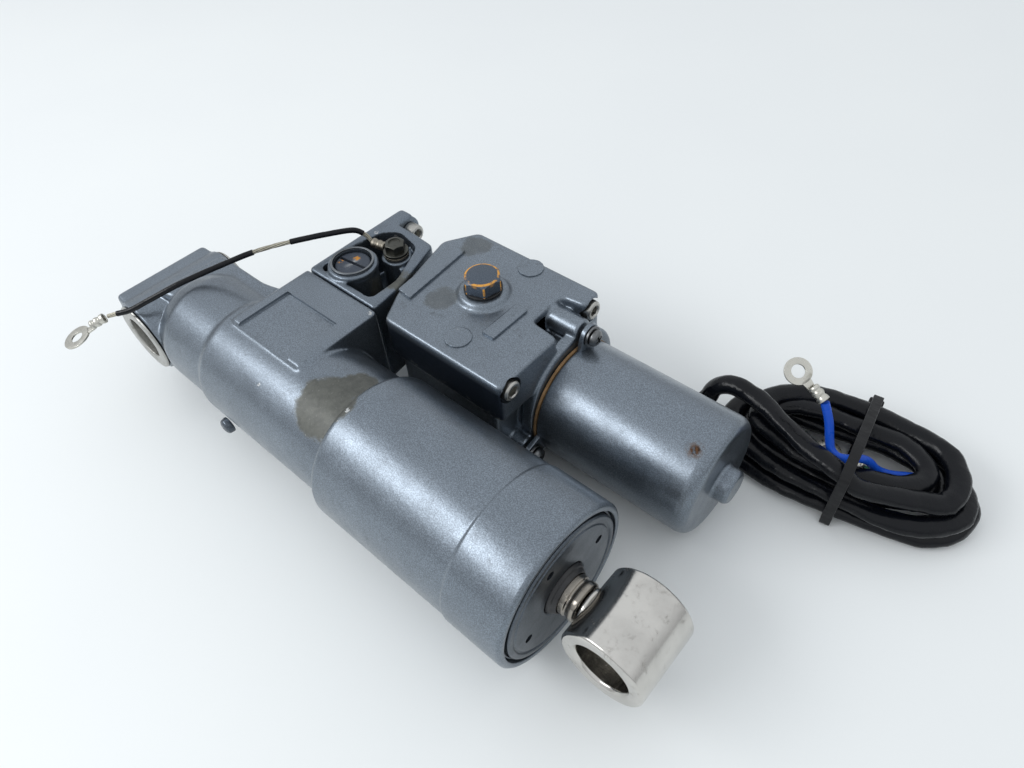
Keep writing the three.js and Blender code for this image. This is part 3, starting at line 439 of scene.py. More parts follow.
def apply_modifiers(obj):
    graph = bpy.context.evaluated_depsgraph_get()
    mesh = bpy.data.meshes.new_from_object(obj.evaluated_get(graph))
    obj.modifiers.clear()
    obj.data = mesh
    return obj


def bevelled(obj, width, segments, angle):
    """Rounds the edges that are sharper than an angle."""
    bevel = obj.modifiers.new("bevel", "BEVEL")
    bevel.width = width * MM
    bevel.segments = segments
    bevel.limit_method = "ANGLE"
    bevel.angle_limit = math.radians(angle)
    return apply_modifiers(obj)


def boolean(obj, other, operation="DIFFERENCE"):
    modifier = obj.modifiers.new("cut", "BOOLEAN")
    modifier.operation = operation
    modifier.solver = "EXACT"
    modifier.object = other
    apply_modifiers(obj)
    bpy.data.objects.remove(other)
    return obj


def merge(name, parts):
    bm = bmesh.new()
    for part in parts:
        bm.from_mesh(part.data)
        bpy.data.objects.remove(part)
    mesh = bpy.data.meshes.new(name)
    bm.to_mesh(mesh)
    bm.free()
    return new_object(name, mesh)


def cast_body(name, parts, voxel, rounds):
    """Overlapping closed shapes fused into one casting with small fillets."""
    obj = merge(name, parts)
    remesh = obj.modifiers.new("fuse", "REMESH")
    remesh.mode = "VOXEL"
    remesh.voxel_size = voxel * MM
    soften = obj.modifiers.new("soften", "SMOOTH")
    soften.factor = 0.5
    soften.iterations = rounds
    thin = obj.modifiers.new("thin", "DECIMATE")
    thin.ratio = 0.35
    return apply_modifiers(obj)


def put(obj, at, heading, tilt=0.0, roll=0.0):
    """Moves a piece made at the working origin: rolled about X, tipped about Y, turned about Z, placed."""
    home = Matrix.Translation(-place(0, 0, 0))
    turn = Matrix.Rotation(math.radians(heading), 4, "Z") @ Matrix.Rotation(math.radians(tilt), 4, "Y")
    turn = turn @ Matrix.Rotation(math.radians(roll), 4, "X")
    obj.data.transform(Matrix.Translation(place(*at)) @ turn @ home)
    return obj


def turn_about(obj, centre, axis, degrees):
    """Turns a piece about an axis through a point given in working millimetres."""
    middle = Matrix.Translation(place(*centre))
    obj.data.transform(middle @ Matrix.Rotation(math.radians(degrees), 4, axis) @ middle.inverted())
    return obj


def show(obj, finish, nodes, angle=32, body="housing"):
    """Gives a piece its finish, parents it to its body and hides the CAD nodes it stands for."""
    obj.data.materials.clear()
    obj.data.materials.append(M[finish])
    obj.data.polygons.foreach_set("use_smooth", [True] * len(obj.data.polygons))
    obj.data.set_sharp_from_angle(angle=math.radians(angle))
    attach(obj, body)
    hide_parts(*nodes)
    return obj


def corner_curve(before, corner, after, reach_in, reach_out, steps):
    """Points of the soft curve that takes the place of a corner."""
    b, c, a = Vector(before), Vector(corner), Vector(after)
    start = c + (b - c).normalized() * reach_in
    end = c + (a - c).normalized() * reach_out
    made = []
    for k in range(steps + 1):
        t = k / steps
        made.append(start * (1 - t) ** 2 + c * 2 * t * (1 - t) + end * t * t)
    return made


def rounded(profile, radius, steps=3):
    """The open profile with each of its inner corners rounded."""
    made = [profile[0]]
    for before, corner, after in zip(profile, profile[1:], profile[2:]):
        reaches = [min(radius, (Vector(end) - Vector(corner)).length * 0.45) for end in (before, after)]
        made += [tuple(p) for p in corner_curve(before, corner, after, *reaches, steps)]
    made.append(profile[-1])
    return made


def soft_loop(corners, radius, steps):
    """The closed outline with rounded corners."""
    made = []
    for i, corner in enumerate(corners):
        after = corners[(i + 1) % len(corners)]
        made += corner_curve(corners[i - 1], corner, after, radius, radius, steps)
    return made


AXIS_TURN = {
    "x": Matrix(((0, 0, 1), (1, 0, 0), (0, 1, 0))),
    "y": Matrix(((0, 1, 0), (0, 0, 1), (1, 0, 0))),
    "z": Matrix.Identity(3),
}


def lathe(name, profile, axis, centre, segments):
    """Turned body from [position along the axis, radius] pairs in working millimetres."""
    bm = bmesh.new()
    turn = AXIS_TURN[axis]
    origin = place(*centre)
    rings = []
    for along, radius in profile:
        if radius < 1e-6:
            rings.append([bm.verts.new(origin + turn @ Vector((0, 0, along * MM)))])
            continue
        circle = []
        for i in range(segments):
            a = i * math.tau / segments
            local = Vector((radius * MM * math.cos(a), radius * MM * math.sin(a), along * MM))
            circle.append(bm.verts.new(origin + turn @ local))
        rings.append(circle)
    for low, high in zip(rings, rings[1:]):
        for i in range(segments):
            k = (i + 1) % segments
            corners = [low[i % len(low)], low[k % len(low)], high[k % len(high)], high[i % len(high)]]
            face = [v for j, v in enumerate(corners) if v not in corners[:j]]
            if len(face) > 2:
                bm.faces.new(face)
    return from_bmesh(name, bm)


def turned(name, profile, edge, axis, centre, segments=96, steps=3):
    """Turned body whose corners are rounded."""
    return lathe(name, rounded(profile, edge, steps), axis, centre, segments)


def rod(name, axis, low, high, radius, centre, edge, segments):
    """Solid round bar between two places along an axis."""
    return turned(name, [(low, 0), (low, radius), (high, radius), (high, 0)], edge, axis, centre, segments)


def ring(name, axis, low, high, inner, outer, centre, edge, segments=96):
    """Flat-sided ring between two places along an axis."""
    middle = (low + high) / 2
    profile = [(middle, inner), (low, inner), (low, outer), (high, outer), (high, inner), (middle, inner)]
    return turned(name, profile, edge, axis, centre, segments)


def drill(obj, *hole):
    """Cuts a round hole, given as a rod without its name."""
    return boolean(obj, rod("hole", *hole))


def slab(name, corners, low, high, corner_radius, edge, segments=4):
    """Upright plate from plan corners in working millimetres, with rounded corners and bevelled rims."""
    bm = bmesh.new()
    plan = soft_loop(corners, corner_radius, 5)
    bottom = [bm.verts.new(place(p.x, p.y, low)) for p in plan]
    top = [bm.verts.new(place(p.x, p.y, high)) for p in plan]
    bm.faces.new(bottom)
    bm.faces.new(top)
    for i in range(len(plan)):
        k = (i + 1) % len(plan)
        bm.faces.new((bottom[i], bottom[k], top[k], top[i]))
    return bevelled(from_bmesh(name, bm), edge, segments, 50)


def oblong(x0, y0, x1, y1):
    """Plan corners of an upright box."""
    return [(x0, y0), (x1, y0), (x1, y1), (x0, y1)]


def block(name, low, high, edge):
    """Bevelled box between two corners in working millimetres."""
    return slab(name, oblong(low[0], low[1], high[0], high[1]), low[2], high[2], min(0.3, edge), edge, 3)


def hexagon(name, low, high, across, centre, turn, dome):
    """Upright hexagonal head with its corners turned off, as on a bolt."""
    corner = across / math.sqrt(3)
    obj = turn_about(rod(name, "z", low, high, corner, centre, 0.01, 6), centre, "Z", turn)
    crown = [
        (low - 1, 0), (low - 1, corner + 1), (high - dome, corner + 0.05),
        (high - 0.12 * dome, across / 2 - 0.25), (high, across / 2 - 0.9), (high, 0),
    ]
    return boolean(obj, lathe("crown", crown, "z", centre, 72), "INTERSECT")


def round_motor(angle, radius):
    """y and z of a point round the motor's axis."""
    a = math.radians(angle)
    return MOTOR_Y + radius * math.cos(a), MOTOR_Z + radius * math.sin(a)


# ---- cords ----
SLEEVE_D = 9.2
BLUE_D = 4.0
GREEN_D = 3.4
EARTH_D = 3.0
STEP = 1.0  # millimetres between the rings of a wire's skin
LEAD_ROUTE = [
    (-52, 116, 24), (-51.9, 124, 23.4), (-50.3, 130, 18.5), (-45, 131.5, 10), (-35, 131, 6.2),
    (-26, 131, 6.5), (-20, 134, 11), (-16, 137, 18.5), (-13, 139, 26.6), (-5.5, 140.5, 31.4),
    (6, 140, 31.4), (16, 137, 31.3), (28, 132, 31.1), (40, 127.5, 31), (48, 125.5, 31),
]
LEAD_TO_HANK = [(58, 124.2, 30), (68, 124.4, 27)]
HANK = {"x": 53, "y": 148.5, "tilt": 8, "half_length": 50, "half_width": 20.5}
# Each turn's spread, height, reach at the right end and sideways lean.
HANK_LAYERS = [
    (4.2, 22.0, -8, 1.5), (-5.2, 21.4, -12, -1.0), (-4.6, 12.6, -5, 1.5), (4.8, 13.2, -1, -1.5),
    (5.6, 5.2, 0, 0.5), (-4.2, 5.0, -7, 0.0),
]
HANK_START = 0.27  # in turns
HANK_STOP = len(HANK_LAYERS) - 0.70
POINTS_PER_TURN = 28
POINTS_JOINED = 4  # first points of the hank, left out where the lead runs into it
BLUE_ROUTE = [
    (85, 155.2, 17), (80, 152.6, 16.5), (73, 148.5, 16.5), (67.5, 145.5, 19), (63.5, 142.2, 25),
    (60, 138, 28.8), (56, 134.4, 29), (51.5, 133, 28.8), (47.8, 134.2, 30), (45.3, 135.8, 34),
    (42.4, 137.2, 41.5), (39.6, 137.8, 47.2), (37.3, 138.4, 51),
]
GREEN_ROUTE = [(85, 150.6, 12), (80, 149.6, 12.2), (72, 148.2, 12.6), (66, 147.4, 13.2), (62.4, 146.4, 13.9)]
EARTH_ROUTE = [
    (-193, 77.8, 72), (-195.8, 77, 75.4), (-199.3, 73.2, 79.2), (-202.5, 64.8, 81.5),
    (-207.2, 54.3, 83), (-215.5, 44, 82), (-223, 36, 80.2), (-230.3, 27.2, 78), (-238.6, 12.6, 75),
    (-247.9, -6.4, 71.3), (-256.3, -20.6, 66.2), (-263.3, -30.2, 61.8), (-268.5, -35.7, 60.4),
    (-272.2, -39.5, 59.3),
]
EARTH_BARE = [(0.0, 0.045), (0.30, 0.44), (0.965, 1.0)]  # shares of the length where the skin is gone


def catmull(points, per_span=8):
    """Smooth line through the points."""
    pts = [Vector(p) for p in points]
    pts = [pts[0] * 2 - pts[1]] + pts + [pts[-1] * 2 - pts[-2]]
    made = []
    for a, b, c, d in zip(pts, pts[1:], pts[2:], pts[3:]):
        for i in range(per_span):
            t = i / per_span
            bend = (2 * a - 5 * b + 4 * c - d) * t * t
            made.append(0.5 * (2 * b + (c - a) * t + bend + (3 * b - a - 3 * c + d) * t**3))
    made.append(pts[-2])
    return made


def hank_point(turns, grow, height, reach, lean):
    """Point of the oval hank; turns are counted from its left end towards the near side."""
    a = math.tau * turns
    squareness = 0.86
    c, s = -math.cos(a), -math.sin(a)
    x = (HANK["half_length"] + grow) * math.copysign(abs(c) ** squareness, c) + reach * max(0.0, c)
    y = (HANK["half_width"] + grow) * math.copysign(abs(s) ** squareness, s) + lean * c
    t = math.radians(HANK["tilt"])
    c, s = math.cos(t), math.sin(t)
    return (HANK["x"] + x * c - y * s, HANK["y"] + x * s + y * c, height)


def hank_route():
    points = []
    steps = round((HANK_STOP - HANK_START) * POINTS_PER_TURN)
    for i in range(steps + 1):
        at = HANK_START + (HANK_STOP - HANK_START) * i / steps
        layer = min(int(at), len(HANK_LAYERS) - 1)
        following = HANK_LAYERS[min(layer + 1, len(HANK_LAYERS) - 1)]
        blend = max(0.0, (at - int(at) - 0.78) / 0.22)
        blend = blend * blend * (3 - 2 * blend)
        pairs = zip(HANK_LAYERS[layer], following)
        grow, height, reach, lean = [a * (1 - blend) + b * blend for a, b in pairs]
        grow += 0.9 * math.sin(at * 17.3) + 0.5 * math.sin(at * 41.7 + 1.1)
        height += 0.5 * math.sin(at * 23.9 + 0.4)
        points.append(hank_point(at, grow, height, reach, lean))
    return points


def tangent_at(path, i):
    return (path[min(i + 1, len(path) - 1)] - path[max(i - 1, 0)]).normalized()


def tube_mesh(name, path, radius, sides, flat=1.0, wrinkle=0.0):
    """Tube along points of the row frame; flat < 1 squashes and twists it, wrinkle gives creases."""
    bm = bmesh.new()
    rings = []
    for i, point in enumerate(path):
        tangent = tangent_at(path, i)
        side = tangent.cross(Vector((0, 0, 1)))
        side = side.normalized() if side.length > 0.15 else Vector((0, 1, 0))
        lift = side.cross(tangent).normalized()
        twist = 0.9 * noise.noise(point * 26) if flat < 1 else 0.0
        row = []
        for k in range(sides):
            a = k * math.tau / sides
            w = radius * (1 + (1 - flat) * 0.55) * math.cos(a)
            h = radius * flat * math.sin(a)
            u = w * math.cos(twist) - h * math.sin(twist)
            v = w * math.sin(twist) + h * math.cos(twist)
            position = point + side * u + lift * v
            if wrinkle:
                position += (position - point) * wrinkle * noise.noise(position * 190)
            row.append(bm.verts.new(position))
        rings.append(row)
    for low, high in zip(rings, rings[1:]):
        for k in range(sides):
            j = (k + 1) % sides
            bm.faces.new((low[k], low[j], high[j], high[k]))
    bm.faces.new(rings[0])
    bm.faces.new(rings[-1])
    return from_bmesh(name, bm)


def length_of(path):
    return sum((b - a).length for a, b in zip(path, path[1:]))


def line_through(route, step, per_span=8):
    """Smooth line through working millimetres, as points of the row frame a fixed distance apart."""
    path = [place(*p) for p in catmull(route, per_span)]
    total = length_of(path)
    count = max(2, round(total / (step * MM)))
    made = [path[0].copy()]
    target = total / count
    walked = 0.0
    for a, b in zip(path, path[1:]):
        span = (b - a).length
        while span > 0 and walked + span >= target * len(made) and len(made) < count:
            made.append(a.lerp(b, (target * len(made) - walked) / span))
        walked += span
    made.append(path[-1].copy())
    return made


def terminal_mesh(name, eye, hole, thickness, barrel, reach):
    """Ring terminal along +X from the working origin: flat eye, tapering neck and barrel with two dents."""
    flat = ring("eye", "z", 0, thickness, hole, eye, (0, 0, 0), 0.15, 64)
    low, high = eye - 1.2, reach - 7.4
    wide, narrow = barrel * 1.15, barrel * 0.85
    plan = [(low, -wide), (high, -narrow), (high, narrow), (low, wide)]
    neck = slab("neck", plan, 0, thickness, 0.2, 0.15, 2)
    start = reach - 8
    wall = barrel + 0.7
    dents = [(0, 0.86), (1.2, 1.0), (2.2, 0.78), (3.2, 1.0), (4.4, 1.0), (5.4, 0.80), (6.4, 1.0), (8, 1.05)]
    profile = [
        (reach - 4, barrel - 0.3),
        (start, barrel - 0.3),
        *[(start + along, wall * share) for along, share in dents],
        (reach, barrel - 0.1),
        (reach - 4, barrel - 0.3),
    ]
    crimp = turned("crimp", profile, 0.35, "x", (0, 0, barrel + 0.3), 48)
    return merge(name, [flat, neck, crimp])


def add_motor_cable():
    """Motor lead with its coil of sleeve, and the blue and green wires that come out of the coil's end."""
    sleeve_path = line_through(LEAD_ROUTE + LEAD_TO_HANK + hank_route()[POINTS_JOINED:], 2.2, 6)
    sleeve = tube_mesh("motor_cable_sleeve", sleeve_path, SLEEVE_D / 2 * MM, 18, 0.82, 0.10)
    show(sleeve, "vinyl", ["motor_cable", "cable_hank"], 80)
    blue_path = line_through(BLUE_ROUTE, STEP)
    blue = tube_mesh("blue_wire_skin", blue_path, BLUE_D / 2 * MM, 20)
    show(blue, "blue", ["blue_wire"], 70)
    blue_end = terminal_mesh("blue_terminal_crimped", 6.4, 3.2, 1.0, 2.1, 17)
    put(blue_end, (20.9, 142, 57.5), -9.3, 28, 20)
    show(blue_end, "tin", ["blue_terminal"], 40)
    green = tube_mesh("green_wire_skin", line_through(GREEN_ROUTE, STEP), GREEN_D / 2 * MM, 20)
    show(green, "green", ["green_wire"], 70)
    green_end = put(terminal_mesh("green_terminal_crimped", 6.4, 3.2, 1.0, 2.1, 17), (44.8, 147.6, 11.6), -4)
    show(green_end, "tin", ["green_terminal"], 40)


def add_earth_lead():
    """Half-bare lead: six strands along its whole length, and a skin in the stretches that still have one."""
    path = line_through(EARTH_ROUTE, 0.9)
    last = len(path) - 1
    skins = []
    covered_from = 0.0
    for low, high in EARTH_BARE + [(1.0, 1.0)]:
        a, b = round(covered_from * last), round(low * last)
        if b - a > 3:
            skins.append(tube_mesh("skin", path[a : b + 1], EARTH_D / 2 * MM, 20, 1.0, 0.05))
        covered_from = high
    skin = merge("earth_lead_skin", skins)
    show(skin, "vinyl", ["earth_lead"], 70)
    strands = []
    for k in range(6):
        line = []
        for i, point in enumerate(path):
            a = k * math.tau / 6 + i * 0.11
            tangent = tangent_at(path, i)
            side = tangent.cross(Vector((0, 0, 1))).normalized()
            up = side.cross(tangent)
            line.append(point + (side * math.cos(a) + up * math.sin(a)) * 0.76 * MM)
        strands.append(tube_mesh("strand", line, 0.42 * MM, 8))
    core = merge("earth_lead_strands", strands)
    show(core, "strand", ["earth_lead"], 70)
    end = put(terminal_mesh("earth_lead_end_ring", 7.4, 3.3, 0.98, 1.9, 18), (-280.2, -56.2, 51.5), 65, -17)
    show(end, "tin", ["earth_lead_end"], 40)
    lug = put(terminal_mesh("earth_lug_ring", 6.6, 3.3, 1.1, 1.9, 15), (-177, 80.5, 69.5), 190)
    show(lug, "dull_tin", ["earth_lug"], 40)


# ---- cylinder casting ----
BORE_R = 26.4
COLLAR_R = 38.15
BARREL_R = 37.45


def build_casting():
    neck_profile = [
        (-261.8, 0), (-261.8, 15), (-257.8, 23), (-250.8, 28.5), (-242, 30.9), (-209, 30.9),
        (-206.3, 32.9), (-112, 32.9), (-112, BORE_R), (-216, BORE_R), (-216, 0),
    ]
    neck = turned("neck", neck_profile, 1.5, "x", CYL_AXIS, 160)
    lug = rod("lug", "y", -28.9, 28.9, 20.9, LUG, 1.4, 96)
    pad = slab("pad", oblong(-289.4, -27.9, -271, 27.9), CYL_Z - 6, CYL_Z + 18.4, 3, 3.5)
    web_plan = [(-267, -14), (-265, 26.9), (-225, 26.9), (-199, 33.8), (-199, 0), (-230, -4)]
    web = slab("web", web_plan, CYL_Z - 12, CYL_Z + 23.9, 5, 3.2)
    manifold = slab("block", oblong(-201.9, -6, -148.1, 41.6), 24.2, 72.9, 2.2, 5)
    fill = slab("fill", oblong(-201.4, 9, -153.4, 41.5), 26.3, 72.8, 0.5, 0.8, 2)
    for part in (manifold, web, fill):
        bore = [(-216, 0), (-216, BORE_R), (10, BORE_R), (10, 0)]
        boolean(part, lathe("bore", bore, "x", CYL_AXIS, 96))
    shell = cast_body("casting_body", [neck, lug, pad, web, manifold, fill], 0.85, 5)
    boolean(shell, slab("pocket", oblong(-195.5, -16, -157, 24), 71.3, 80, 0.6, 0.4, 2))
    drill(shell, "y", -40, 40, 14.3, LUG, 0.3, 96)
    drill(shell, "y", 20, 50, 4, (-170, 0, CYL_Z + 12), 0.3, 32)
    show(shell, "neck", ["cylinder_casting"], 40)

    angles = [i * math.pi / 20 for i in range(11)]
    shoulder = [(-113.6 + 4 * (1 - math.cos(t)), 33.4 + 4 * math.sin(t)) for t in angles]
    outside = [
        shoulder[-1],
        (-32.4, BARREL_R),
        (-31.3, COLLAR_R),
        (-2.6, COLLAR_R),
        (-1.3, COLLAR_R - 1.2),
        (-1.3, 34.8),
        (-7, 34.8),
        (-7, BORE_R),
        (-112.2, BORE_R),
        (-112.2, 32),
    ]
    profile = [(-114.2, 32.4), *shoulder[:-1], *rounded(outside, 0.7), (-114.2, 32.4)]
    barrel = lathe("casting_barrel", profile, "x", CYL_AXIS, 192)
    show(barrel, "barrel", ["cylinder_casting"], 25)

    for side, node in ((-1, "lug_bush_near"), (1, "lug_bush_far")):
        lip = [(29.4, 13.9), (29.4, 19.6), (30.5, 19), (30.5, 12.6), (29.9, 12)]
        corners = [(16, 12), (2, 12), (2, 13.9), *lip, (16, 12)]
        bush = turned(node + "_worn", [(side * y, r) for y, r in corners], 0.4, "y", LUG)
        show(bush, "bush", [node])

    y = -38.2
    head = [(y + 0.2, 2.5), (y + 1.2, 4.1), (y + 4.4, 4.5), (y + 4.4, 0)]
    profile = [(y + 3, 0), (y + 3, 0.1), (y + 0.2, 0.1), *head]
    cap = turned("neck_plug_cap", profile, 0.8, "y", (-196, 3, CYL_Z - 17.5), 48)
    show(cap, "cap", ["neck_plug"])


# ---- end cap, rod and eye ----
def build_cap():
    profile = [
        (-15, 9.4), (-24, 9.4), (-24, 26), (-6.8, 26), (-6.8, 33.2), (-1.5, 33.2), (-0.9, 32.5),
        (-0.9, 30.6), (-1.5, 30.1), (-1.5, 29.4), (-0.9, 28.9), (-0.9, 12.6), (-1.6, 11.8),
        (-5, 11.8), (-5, 9.4), (-15, 9.4),
    ]
    cap = turned("end_cap_disc", profile, 0.3, "x", CYL_AXIS, 160)
    for angle in (20, 110, 200, 290):
        a = math.radians(angle)
        centre = (0, 23.5 * math.cos(a), CYL_Z + 23.5 * math.sin(a))
        drill(cap, "x", -6, 4, 2.0, centre, 0.01, 40)
    show(cap, "cap", ["end_cap"])
    lock = ring("cap_groove_ring", "x", -6.4, -3.2, 33.6, 34.4, CYL_AXIS, 0.2, 128)
    show(lock, "cap", ["cap_lock_ring"])
    lips = [(0.3, 11.2), (0.7, 10.6), (1.6, 10.2), (2.4, 9.8), (2.4, 9.3)]
    profile = [(-2, 9.3), (-4.5, 9.3), (-4.5, 11.6), (-0.9, 11.6), *lips, (-2, 9.3)]
    wiper = turned("rod_wiper_lips", profile, 0.25, "x", CYL_AXIS)
    show(wiper, "wiper", ["rod_wiper"])


def build_rod():
    low = (ROD_LOW.x - X0) / MM
    groove = [(4.6, 8.98), (5.2, 8.3), (6.2, 8.3), (6.8, 8.98), (9.2, 8.98), (9.9, 8.2)]
    profile = [(low, 0), (low, 4.9), (-172.8, 4.9), (-172.8, 8.98), *groove, (9.9, 0)]
    bar = turned("chrome_rod", profile, 0.3, "x", CYL_AXIS)
    show(bar, "chrome", ["piston_rod"], body="rod")
    half = 17.4
    bore, chamfer, outer = 11.75, 12.9, 18.3
    profile = [
        (0, bore), (-half + 1.3, bore), (-half, chamfer), (-half, outer - 0.9),
        (-half + 0.9, outer), (half - 0.9, outer), (half, outer - 0.9), (half, chamfer),
        (half - 1.3, bore), (0, bore),
    ]
    eye = turned("rod_eye_bush", profile, 0.5, "y", EYE, 192, 4)
    show(eye, "eye", ["rod_eye"], body="rod")
    stub = rod("rod_eye_stub", "x", 10.5, EYE[0] - 16.4, 8.3, CYL_AXIS, 0.8, 72)
    drill(stub, "y", -40, 40, 16.9, EYE, 0.3, 96)
    show(stub, "eye", ["rod_eye"], body="rod")


# ---- valve body ----
def build_valve():
    x, y, top = VALVE
    plan = [
        (-201.9, 42.1), (-151.2, 42.1), (-153.2, 62), (-163.7, 94.8), (-178, 96.3), (-192.2, 96.8),
        (-192.2, 107.8), (-201.9, 107.8),
    ]
    outer = slab("outer", plan, 22.1, 72.9, 2.5, 2.2)
    plan = [(-197, 46), (-158, 46), (-158, 64), (-169, 88), (-186, 92), (-194, 86), (-197, 70)]
    boolean(outer, slab("hollow", plan, 48, 90, 4, 1))
    rim = [(top - 4.2, 12.1), (top - 3.2, 13.1), (top - 0.9, 13.1), (top - 0.1, 12.3), (top - 0.1, 0)]
    boss = turned("boss", [(30, 0), (30, 12.1), *rim], 0.5, "z", (x, y, 0), 120)
    bx, by, seat = EARTH_BOLT
    pad = rod("bolt_pad", "z", 30, 68.9, 8.4, (bx, by, 0), 1, 64)
    lobe = rod("lobe", "x", -201.5, -192.1, 8.4, (0, 102.6, 64.2), 1, 64)
    rib = slab("rib", [(-172, 76), (-160, 70), (-158, 73), (-170, 80)], 40, 66, 0.8, 0.8, 2)
    shell = cast_body("valve_casting", [outer, boss, pad, lobe, rib], 0.7, 4)
    drill(shell, "z", 52, 90, 10, (x, y, 0), 0.2, 96)
    drill(shell, "z", 55, 90, 3.4, (bx, by, 0), 0.2, 32)
    drill(shell, "x", -230, -152, 6.5, (0, 76, 34), 0.2, 48)
    drill(shell, "x", -220, -180, 3.4, (0, 103, 65), 0.2, 32)
    show(shell, "valve", ["valve_body"], 40)

    profile = [(54, 0), (54, 6), (60, 9), (66, 9.5), (top - 1.3, 9.5), (top - 0.6, 8.7), (top - 0.6, 0)]
    plug = turned("release_valve_plug", profile, 0.4, "z", (x, y, 0))
    slot = block("slot", (x - 8.6, y - 0.85, top - 2.6), (x + 8.6, y + 0.85, top + 2), 0.1)
    boolean(plug, turn_about(slot, (x, y, 0), "Z", 7))
    show(plug, "valve_screw", ["release_valve_screw"], body="valve_screw")
    clip = ring("valve_circlip_ring", "z", top + 0.3, top + 1.25, 10.1, 11.3, (x, y, 0), 0.3)
    show(clip, "clip", ["valve_circlip"])

    flange = rod("flange", "z", seat + 1.75, seat + 3.1, 6.7, (bx, by, 0), 0.4, 64)
    head = hexagon("head", seat + 2.9, seat + 7.9, 9.6, (bx, by, 0), 12, 1.0)
    drill(head, "z", seat + 7.1, seat + 9, 3.2, (bx, by, 0), 0.3, 48)
    shank = rod("shank", "z", 57.1, seat + 3, 2.95, (bx, by, 0), 0.4, 32)
    bolt = merge("earth_bolt_rusty", [flange, head, shank])
    show(bolt, "dark_steel", ["earth_bolt"])
    cap_screw("valve_screw_far", -191.7, 103, 65, 9)


def cap_screw(node, x, y, z, shank):
    """Socket-head screw along +X: knurled head, hexagonal socket with a chamfered mouth."""
    profile = [(x + 0.02, 0), (x + 0.02, 4.95), (x + 5.6, 4.95), (x + 6.45, 4.2), (x + 6.45, 0)]
    head = turned("head", profile, 0.35, "x", (0, y, z), 72)
    ridges = 36
    depth = 0.14
    axis = place(0, y, z)
    for vertex in head.data.vertices:
        out = Vector((0, vertex.co.y - axis.y, vertex.co.z - axis.z))
        along = (vertex.co.x - X0) / MM - x
        if out.length > 4.8 * MM and 0.5 < along < 5.4:
            a = math.atan2(out.z, out.y)
            vertex.co -= out.normalized() * depth * MM * (0.5 + 0.5 * math.cos(ridges * a))
    drill(head, "x", x + 3, x + 9, 2.85, (0, y, z), 0.01, 6)
    mouth = [(x + 5.9, 0), (x + 5.9, 2.6), (x + 6.6, 3.3), (x + 6.6, 0)]
    boolean(head, lathe("mouth", mouth, "x", (0, y, z), 36))
    body = rod("body", "x", x - shank + 0.1, x + 0.4, 2.95, (0, y, z), 0.4, 32)
    made = merge(node + "_head", [head, body])
    show(made, "stainless", [node])


# ---- pump housing ----
PUMP_SCREWS = {"pump_screw_near": (-72.5, 47, 67), "pump_screw_far": (-76, 110.5, 66.5)}
PUMP_FACE = -65.9


